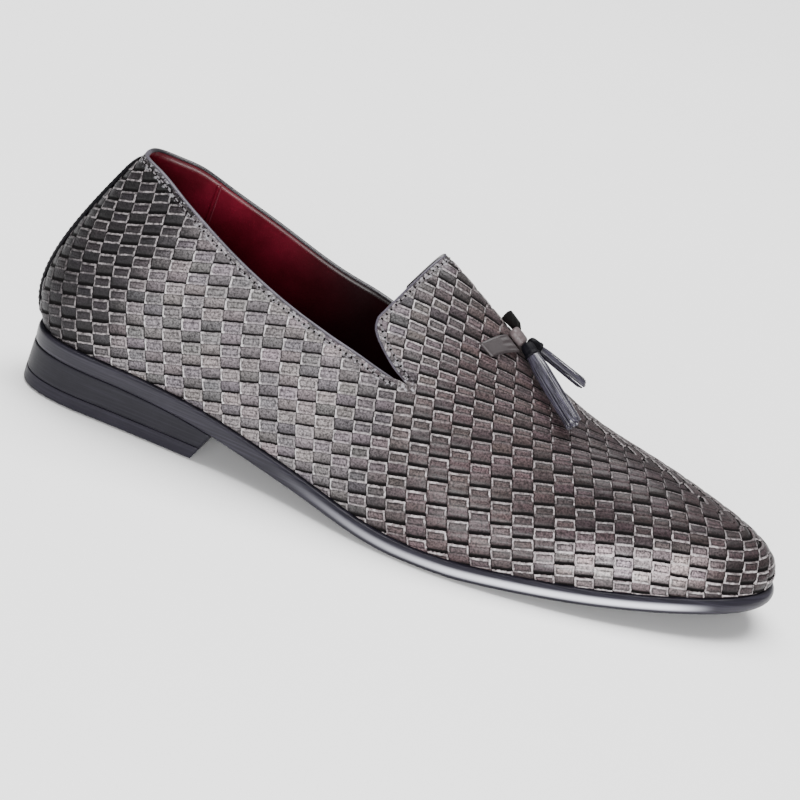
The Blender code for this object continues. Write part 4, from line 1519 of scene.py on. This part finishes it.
    def build(self) -> None:
        """Make the bindings, stitches and strip."""
        spots = self.binding_end * np.linspace(1.0, 0.0, 220) ** 1.05
        path, out = self._round(spots, [self.last.mouth(side, spots) for side in Side])
        self._cord("mouth_binding_roll", path, out, 1.0, "mouth_binding")
        corner = np.linspace(0.965, 0.0, 60)[:-1]
        climb = np.linspace(0.0, 1.0, 90)
        along, up = self.last.tab_place(
            np.concatenate([corner, np.zeros(len(climb))]), np.concatenate([np.zeros(len(corner)), climb])
        )
        path, out = self._round(along, [up, up])
        self._cord("tab_binding_roll", path, out, -1.0, "tab_binding")
        rows = [self._mouth_row(side) for side in Side] + [self._tab_row(side) for side in Side]
        Shape.joined([row.row() for row in rows]).piece("edge_stitches", self.wardrobe.thread, "edge_leather")
        # Needle holes as dark domes: painted shade in the holes.
        holes = Shape.joined([row.holes() for row in rows])
        holes.piece("needle_holes", self.wardrobe.leather["under"], "edge_leather")
        self._lining_seam()
        self._back_strip()


def level(height: float) -> Callable[[np.ndarray], np.ndarray]:
    """A flat height, given for each place along the shoe."""
    return lambda along: np.full(len(along), height)


@dataclass
class SoleUnit:
    """Outsole, heel and insole; an edge is given by its reach and share of the thickness."""

    last: Last
    wardrobe: Wardrobe
    reach: float = 2.0
    insole_inset: float = 2.3
    insole_thick: float = 2.4
    insole_dish: float = 0.8
    top_piece_height: float = 5.5
    top_piece_seam: float = 0.25
    sole_seam: float = 0.2
    breast_at: float = 71.2
    breast_lean: float = 0.48
    heel_flare: float = 1.5
    flare_height: float = 22.0
    flare_end: float = 0.15
    stack_reach: float = 2.05
    tread_reach: float = 2.1
    stations: int = 150
    across: int = 28
    heel_steps: int = 64
    sock_edge: Edge = ((-0.4, 0.0), (0.0, 0.2), (0.0, 0.6), (-0.15, 0.85), (-0.6, 1.0))
    stack_edge: Edge = (
        (-0.22, 0.0), (-0.03, 0.03), (0.0, 0.08), (0.0, 0.5), (0.0, 0.92), (-0.03, 0.97), (-0.22, 1.0)
    )
    tread_edge: Edge = (
        (-0.7, 0.0), (-0.25, 0.05), (-0.05, 0.14), (0.0, 0.5), (0.0, 0.92), (-0.03, 0.97), (-0.22, 1.0)
    )

    def __post_init__(self) -> None:
        """Spread the places round one side, closer together at heel and toe."""
        even = np.linspace(0.0, 1.0, self.stations + 1)
        self._spots = even - np.sin(2.0 * math.pi * even) * 0.055

    def _sole_edge(self) -> Edge:
        """Edge of the outsole: nearly flat at the heel, round under the forefoot."""
        front = ease(0.30, 0.62, self._spots)
        edge = []
        for v in np.linspace(-1.0, 1.0, 15):
            edge.append((0.25 - (0.45 + 1.25 * front) * abs(v) ** (6.0 - 3.8 * front), (v + 1.0) / 2.0))
        return tuple(edge)

    def _board(
        self, edge: Edge, bottom: np.ndarray, top: np.ndarray, reach: float, dish: float = 0.0,
    ) -> Shape:
        """Board that follows the sole's outline.

        Args:
            edge: Reach beyond the outline and share of the thickness, from the underside up.
            bottom: Height of the underside at each place.
            top: Height of the upper face at each place.
            reach: Reach of the whole edge beyond the feather line.
            dish: Depth of the hollow of the upper face.

        Returns:
            The board, which carries the share of its thickness as "edge".
        """
        spots = self._spots
        rings = []
        for out, share in edge:
            high = bottom * (1.0 - share) + top * share
            wide = reach + np.broadcast_to(out, spots.shape)[:, None]
            outer = np.column_stack([self.last.outline(Side.OUTER, spots, wide), high])
            inner = np.column_stack([self.last.outline(Side.INNER, spots[1:-1], wide[1:-1]), high[1:-1]])
            rings.append(np.vstack([outer, inner[::-1]]))
        wall = np.stack(rings)
        shares = np.broadcast_to(np.array([share for _, share in edge])[:, None], wall.shape[:2])
        parts = [Shape.grid(wall, closed=True, edge=shares)]
        for ring, depth, turned in ((rings[0], 0.0, False), (rings[-1], dish, True)):
            outer = ring[:len(spots)]
            inner = np.vstack([ring[:1], ring[len(spots):][::-1], ring[len(spots) - 1:len(spots)]])
            share = np.linspace(0.0, 1.0, self.across + 1)[None, :, None]
            face = outer[:, None] * (1.0 - share) + inner[:, None] * share
            face[..., 2] -= depth * np.sin(math.pi * share[..., 0]) * np.sin(math.pi * spots)[:, None]
            parts.append(Shape.grid(face, flip=turned, edge=np.full(face.shape[:2], float(turned))))
        return Shape.joined(parts).welded()

    def _heel_side(self, side: Side, wide: float, height: Callable[[np.ndarray], np.ndarray]) -> np.ndarray:
        """Line round one side of the heel at a height, from the back to the leaning breast."""
        probe = np.linspace(0.18, 0.34, 161)
        plan = self.last.outline(side, probe, wide)
        cut = np.interp(0.0, plan[:, 0] - (self.breast_at + self.breast_lean * height(probe)), probe)
        spots = cut * np.linspace(0.0, 1.0, self.heel_steps + 1)
        high = height(spots)
        grow = self.heel_flare * (1.0 - high / self.flare_height) * (1.0 - ease(0.0, self.flare_end, spots))
        return np.column_stack([self.last.outline(side, spots, (wide + grow)[:, None]), high])

    def _heel_block(self, edge: Edge, low: Callable, high: Callable, reach: float) -> Shape:
        """Block under the heel, cut off at the leaning breast, between two heights."""
        rings = np.stack([
            np.stack([
                self._heel_side(side, reach + out, lambda s: low(s) * (1.0 - share) + high(s) * share)
                for side in Side
            ])
            for out, share in edge
        ])
        share = np.linspace(0.0, 1.0, self.across + 1)[None, :, None]
        front = rings[:, 0, -1:] * (1.0 - share) + rings[:, 1, -1:] * share
        parts = [Shape.grid(np.concatenate([rings[:, 1, ::-1], rings[:, 0, 1:]], axis=1)), Shape.grid(front)]
        for k, turned in ((0, False), (-1, True)):
            face = rings[k, 0][:, None] * (1.0 - share) + rings[k, 1][:, None] * share
            parts.append(Shape.grid(face, flip=turned))
        return Shape.joined(parts).welded()

    def build(self) -> None:
        """Make the boards and the heel."""
        last = self.last
        under, top = last.sole_bottom(self._spots), last.sole_top(self._spots)
        sole = self._board(self._sole_edge(), under, top, self.reach)
        sole.piece("outsole_board", self.wardrobe.edges["sole"], "sole_leather", "outsole")
        seat = top + last.gap
        sock = self._board(
            self.sock_edge, seat, seat + self.insole_thick, -self.insole_inset, self.insole_dish
        )
        sock.carried.clear()
        sock.piece("insole_sock", self.wardrobe.leather["sock"], "insole_leather", "insole")
        seam = level(self.top_piece_height + self.top_piece_seam)
        stack = self._heel_block(
            self.stack_edge, seam, lambda s: last.sole_bottom(s) - self.sole_seam, self.stack_reach
        )
        stack.piece("heel_stack", self.wardrobe.edges["stack"], "heel_leather", "heel_lift")
        tread = self._heel_block(self.tread_edge, level(0.0), level(self.top_piece_height), self.tread_reach)
        tread.piece("heel_tread", self.wardrobe.edges["tread"], "heel_rubber", "top_piece")


@dataclass
class Bow:
    """Small bow on the vamp: two wings and the wrap between them.

    The corners of a wing are given as along, up and height over the skin.
    """

    last: Last
    wardrobe: Wardrobe
    thickness: float = 1.5
    rise: float = 0.75
    dome: float = 0.10
    edge_round: float = 0.22
    pinch: float = 0.15
    knot_centre: tuple[float, float, float] = (175.8, -0.7, 81.0)
    knot_half: tuple[float, float, float] = (3.6, 3.1, 1.9)
    knot_pitch: float = 34.0
    outer_wing: Corners = ((0.551, 0.766, 0.6), (0.577, 0.925, 0.6), (0.602, 0.920, 0.6), (0.571, 0.766, 0.6))
    inner_wing: Corners = ((0.555, 0.800, 5.2), (0.562, 0.985, 0.3), (0.590, 0.930, 0.65), (0.573, 0.810, 4.3))

    def _wing(self, name: str, side: Side, corners: Corners, face: str, node: str) -> None:
        """One wing: a padded slab with eased edges and a dark underside."""
        corner = np.array(corners)
        u, v = np.meshgrid(np.linspace(0.0, 1.0, 33), np.linspace(0.0, 1.0, 25), indexing="ij")
        near = corner[0] * (1.0 - v)[..., None] + corner[3] * v[..., None]
        far = corner[1] * (1.0 - v)[..., None] + corner[2] * v[..., None]
        spot = near * (1.0 - u)[..., None] + far * u[..., None]
        base = self.last.skin(side, spot[..., 0], spot[..., 1])
        out = self.last.normal(side, spot[..., 0], spot[..., 1])
        rim = np.minimum(np.minimum(u, 1.0 - u) * 2.0, np.minimum(v, 1.0 - v) * 2.0)
        eased = np.sqrt(np.clip(1.0 - (1.0 - np.clip(rim / self.edge_round, 0.0, 1.0)) ** 2, 0.0, 1.0))
        pinch = self.pinch * np.sin(math.pi * np.clip((u - 0.55) / 0.45, 0.0, 1.0)) * np.cos(6.0 * math.pi * v)
        half = self.thickness / 2.0
        middle = spot[..., 2] + self.rise
        flip = side is Side.OUTER
        wing = Shape.joined([
            Shape.grid(base + out * (middle + (half + self.dome) * eased + pinch)[..., None], flip=not flip),
            Shape.grid(base + out * (middle - half * eased)[..., None], flip=flip),
        ]).welded()
        made = wing.piece(name, self.wardrobe.leather[face], "bow_leather", node)
        made.data.materials.append(self.wardrobe.leather["under"])
        marks = np.arange(len(wing.faces)) >= len(wing.faces) // 2
        made.data.polygons.foreach_set("material_index", marks.astype(int))

    def _knot(self) -> None:
        """Wrap: a rounded block with three turns of a strip."""
        rows, around = 41, 48
        half_x, half_y, half_z = self.knot_half
        a = np.linspace(0.0, 2.0 * math.pi, around, endpoint=False)
        lift = np.linspace(-math.pi / 2, math.pi / 2, rows)
        flat = (np.abs(np.cos(lift)) ** 0.45)[:, None]
        x = np.sign(np.sin(lift)) * np.abs(np.sin(lift)) ** 0.6 * half_x
        y = flat * np.sign(np.cos(a)) * np.abs(np.cos(a)) ** 0.6 * half_y
        z = flat * np.sign(np.sin(a)) * np.abs(np.sin(a)) ** 0.7 * half_z
        turns = 1.0 + 0.055 * np.abs(np.sin(2.0 * math.pi * 1.5 * (x / half_x + 1.0) / 2.0))[:, None]
        x, y, z = np.broadcast_to(x[:, None], y.shape), y * turns, z * turns
        turn = math.radians(self.knot_pitch)
        placed = np.stack([
            x * math.cos(turn) + z * math.sin(turn), y, -x * math.sin(turn) + z * math.cos(turn)
        ], -1)
        knot = Shape.grid(placed + np.array(self.knot_centre), closed=True).welded()
        knot.piece("bow_wrap", self.wardrobe.leather["wrap"], "bow_leather", "bow_knot")

    def build(self) -> None:
        """Make the wings and the wrap."""
        self._wing("bow_wing_near", Side.OUTER, self.outer_wing, "bow", "bow_wing_outer")
        # The far wing is near-black on both faces.
        self._wing("bow_wing_far", Side.INNER, self.inner_wing, "under", "bow_wing_inner")
        self._knot()


@dataclass
class Tassel:
    """A tassel: short cap with a rolled rim, and a fringe of single strips."""

    wardrobe: Wardrobe
    name: str
    node: str
    crown: tuple[float, float, float]
    tip: tuple[float, float, float]
    seed: int
    cap_radius: float = 2.75
    fringe_start: float = 4.6
    fringe_radius: float = 3.3
    strips: int = 13
    strip_width: float = 1.55
    strip_thick: float = 0.42
    cap_profile: Edge = (
        (-0.30, 0.05), (-0.22, 0.40), (0.15, 0.70), (0.9, 0.90), (2.0, 0.98), (3.4, 1.00), (4.3, 0.97),
        (4.55, 1.05), (4.95, 1.11), (5.35, 1.05), (5.6, 0.94), (5.6, 0.02),
    )

    def __post_init__(self) -> None:
        """Find the start, the axis, the directions across it and the length."""
        self._start = np.array(self.crown)
        axis = np.array(self.tip) - self._start
        self._length = float(np.linalg.norm(axis))
        self._axis = axis / self._length
        self._beside = unit(np.cross(self._axis, [0.0, 0.0, 1.0]))
        self._above = np.cross(self._beside, self._axis)

    def _ring(self, turn: np.ndarray) -> np.ndarray:
        """Directions across the axis at the given turns."""
        return self._beside[None] * np.cos(turn)[:, None] + self._above[None] * np.sin(turn)[:, None]

    def _cap(self) -> None:
        """Cap turned on the tassel's axis, with shallow folds and a rolled rim."""
        profile = np.array(self.cap_profile) * np.array([1.0, self.cap_radius])
        turn = np.linspace(0.0, 2.0 * math.pi, 40, endpoint=False)
        fold = 1.0 + 0.03 * np.cos(9.0 * turn)
        spine = self._start + self._axis * profile[:, :1]
        body = spine[:, None] + self._ring(turn)[None] * (profile[:, 1:2] * fold[None, :])[..., None]
        cap = Shape.capped(body, spine[[0, -1]])
        cap.piece(self.name + "_cap", self.wardrobe.leather["edge"], "edge_leather", self.node)

    def _strip(self, radius: float, angle: float, rng: np.random.Generator) -> Shape:
        """One strip, a little uneven and bent along its length."""
        swing = rng.uniform(-0.16, 0.16)
        spread = rng.uniform(0.95, 1.10)
        end = self._length - rng.uniform(0.0, 1.3)
        share = np.linspace(0.0, 1.0, 22)
        down = self.fringe_start + (end - self.fringe_start) * share
        wide = radius * (0.78 + 0.22 * ease(0.0, 0.25, share)) * (1.0 + (spread - 1.0) * share)
        wave = 0.10 * np.sin(share * rng.uniform(3.0, 7.0) + rng.uniform(0.0, 6.0)) * share
        out = self._ring(angle + swing * share**2)
        path = self._start + self._axis * down[:, None] + out * (wide + wave)[:, None]
        width = self.strip_width / 2.0 * (1.0 - 0.12 * np.sin(math.pi * share))
        width[-1] *= 0.86
        strip = tube(path, width, 10, self.strip_thick / self.strip_width, out)
        strip.carried["strip"] = strip.carried["strip"] + rng.uniform(0.0, 40.0)
        return strip

    def _fringe(self) -> None:
        """Strips in three rings, one inside the other."""
        rng = np.random.default_rng(self.seed)
        parts = []
        outer, middle = self.fringe_radius * 0.93, self.fringe_radius * 0.55
        for radius, count in ((outer, self.strips), (middle, self.strips - 5), (0.6, 3)):
            for number in range(count):
                angle = 2.0 * math.pi * (number + 0.18 * rng.uniform(-1.0, 1.0)) / count
                parts.append(self._strip(radius, angle, rng))
        fringe = Shape.joined(parts)
        fringe.piece(self.name + "_fringe", self.wardrobe.fringe, "tassel_leather", self.node)

    def build(self) -> None:
        """Make the cap and the fringe."""
        self._cap()
        self._fringe()


@dataclass(frozen=True)
class Panel:
    """Soft light panel that looks at a point; places in metres, power in watts."""

    name: str
    place: tuple[float, float, float]
    aim: tuple[float, float, float]
    size: tuple[float, float]
    power: float

    def build(self) -> None:
        """Make the light."""
        data = bpy.data.lights.new(self.name, "AREA")
        data.shape = "RECTANGLE"
        data.size, data.size_y = self.size
        data.energy = self.power
        made = bpy.data.objects.new(self.name, data)
        made.location = self.place
        made.rotation_euler = (Vector(self.place) - Vector(self.aim)).to_track_quat("Z", "Y").to_euler()
        bpy.context.scene.collection.objects.link(made)


@dataclass
class Studio:
    """Pale floor, soft lights and the camera; angles in degrees."""

    wardrobe: Wardrobe
    azimuth: float = 9.0
    elevation: float = 21.0
    roll: float = 16.4
    distance: float = 1.2345
    lens: float = 144.0
    target: tuple[float, float, float] = (150.0, 0.0, 45.0)
    shift: tuple[float, float] = (-0.0384, -0.0021)
    floor_half: float = 6.0
    floor_height: float = -0.0004
    sky: float = 0.40
    panels: tuple[Panel, ...] = (
        Panel("front_panel", (0.10, -1.7, 0.60), (0.0, 0.0, 0.04), (0.9, 0.45), 15.0),
        Panel("low_strip", (0.28, -0.80, 0.085), (0.07, -0.03, 0.02), (0.75, 0.10), 9.0),
        Panel("overhead_panel", (-0.1, 0.5, 2.3), (0.0, 0.0, 0.0), (2.2, 1.8), 142.0),
    )

    def _camera(self) -> None:
        """Camera with the tilt of the picture."""
        a, e, roll = (math.radians(angle) for angle in (self.azimuth, self.elevation, self.roll))
        back = Vector((math.sin(a) * math.cos(e), -math.cos(a) * math.cos(e), math.sin(e)))
        right = Vector((math.cos(a), math.sin(a), 0.0))
        up = back.cross(right)
        across = right * math.cos(roll) + up * math.sin(roll)
        rise = up * math.cos(roll) - right * math.sin(roll)
        data = bpy.data.cameras.new("camera")
        data.lens = self.lens
        data.sensor_width = 36.0
        data.shift_x, data.shift_y = self.shift
        data.clip_end = 50.0
        made = bpy.data.objects.new("camera", data)
        place = Vector(metres(np.array(self.target))) + back * self.distance
        made.matrix_world = Matrix.Translation(place) @ Matrix((across, rise, back)).transposed().to_4x4()
        bpy.context.scene.collection.objects.link(made)
        bpy.context.scene.camera = made

    def _floor(self) -> None:
        """One large square just under the shoe."""
        mesh = bpy.data.meshes.new("floor")
        r = self.floor_half
        corners = [(x, y, self.floor_height) for x, y in ((-r, -r), (r, -r), (r, r), (-r, r))]
        mesh.from_pydata(corners, [], [(0, 1, 2, 3)])
        mesh.materials.append(self.wardrobe.floor)
        floor = bpy.data.objects.new("floor", mesh)
        bpy.context.scene.collection.objects.link(floor)

    def build(self) -> None:
        """Make the floor, the world, the lights and the camera."""
        self._floor()
        world = bpy.data.worlds.new("studio")
        world.use_nodes = True
        sky = world.node_tree.nodes["Background"]
        sky.inputs["Color"].default_value = (1.0, 1.0, 1.0, 1.0)
        sky.inputs["Strength"].default_value = self.sky
        bpy.context.scene.world = world
        for panel in self.panels:
            panel.build()
        self._camera()


def main() -> None:
    """Build the shoe and the studio."""
    logging.basicConfig(level=logging.INFO, format="%(name)s %(message)s")
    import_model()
    last = Last()
    chart = WeaveChart(last)
    wardrobe = Wardrobe()
    WovenUpper(last, chart, wardrobe).build()
    EdgeTrim(last, chart, wardrobe).build()
    SoleUnit(last, wardrobe).build()
    Bow(last, wardrobe).build()
    Tassel(wardrobe, "tassel_near", "tassel_outer", (179.6, -2.9, 80.0), (208.0, -15.7, 60.3), 11).build()
    Tassel(
        wardrobe, "tassel_far", "tassel_inner", (179.9, 2.2, 79.8), (203.4, 15.0, 65.6), 23,
        cap_radius=2.3, fringe_radius=2.0, strips=9, strip_width=1.35,
    ).build()
    Studio(wardrobe).build()


if __name__ == "__main__":
    main()
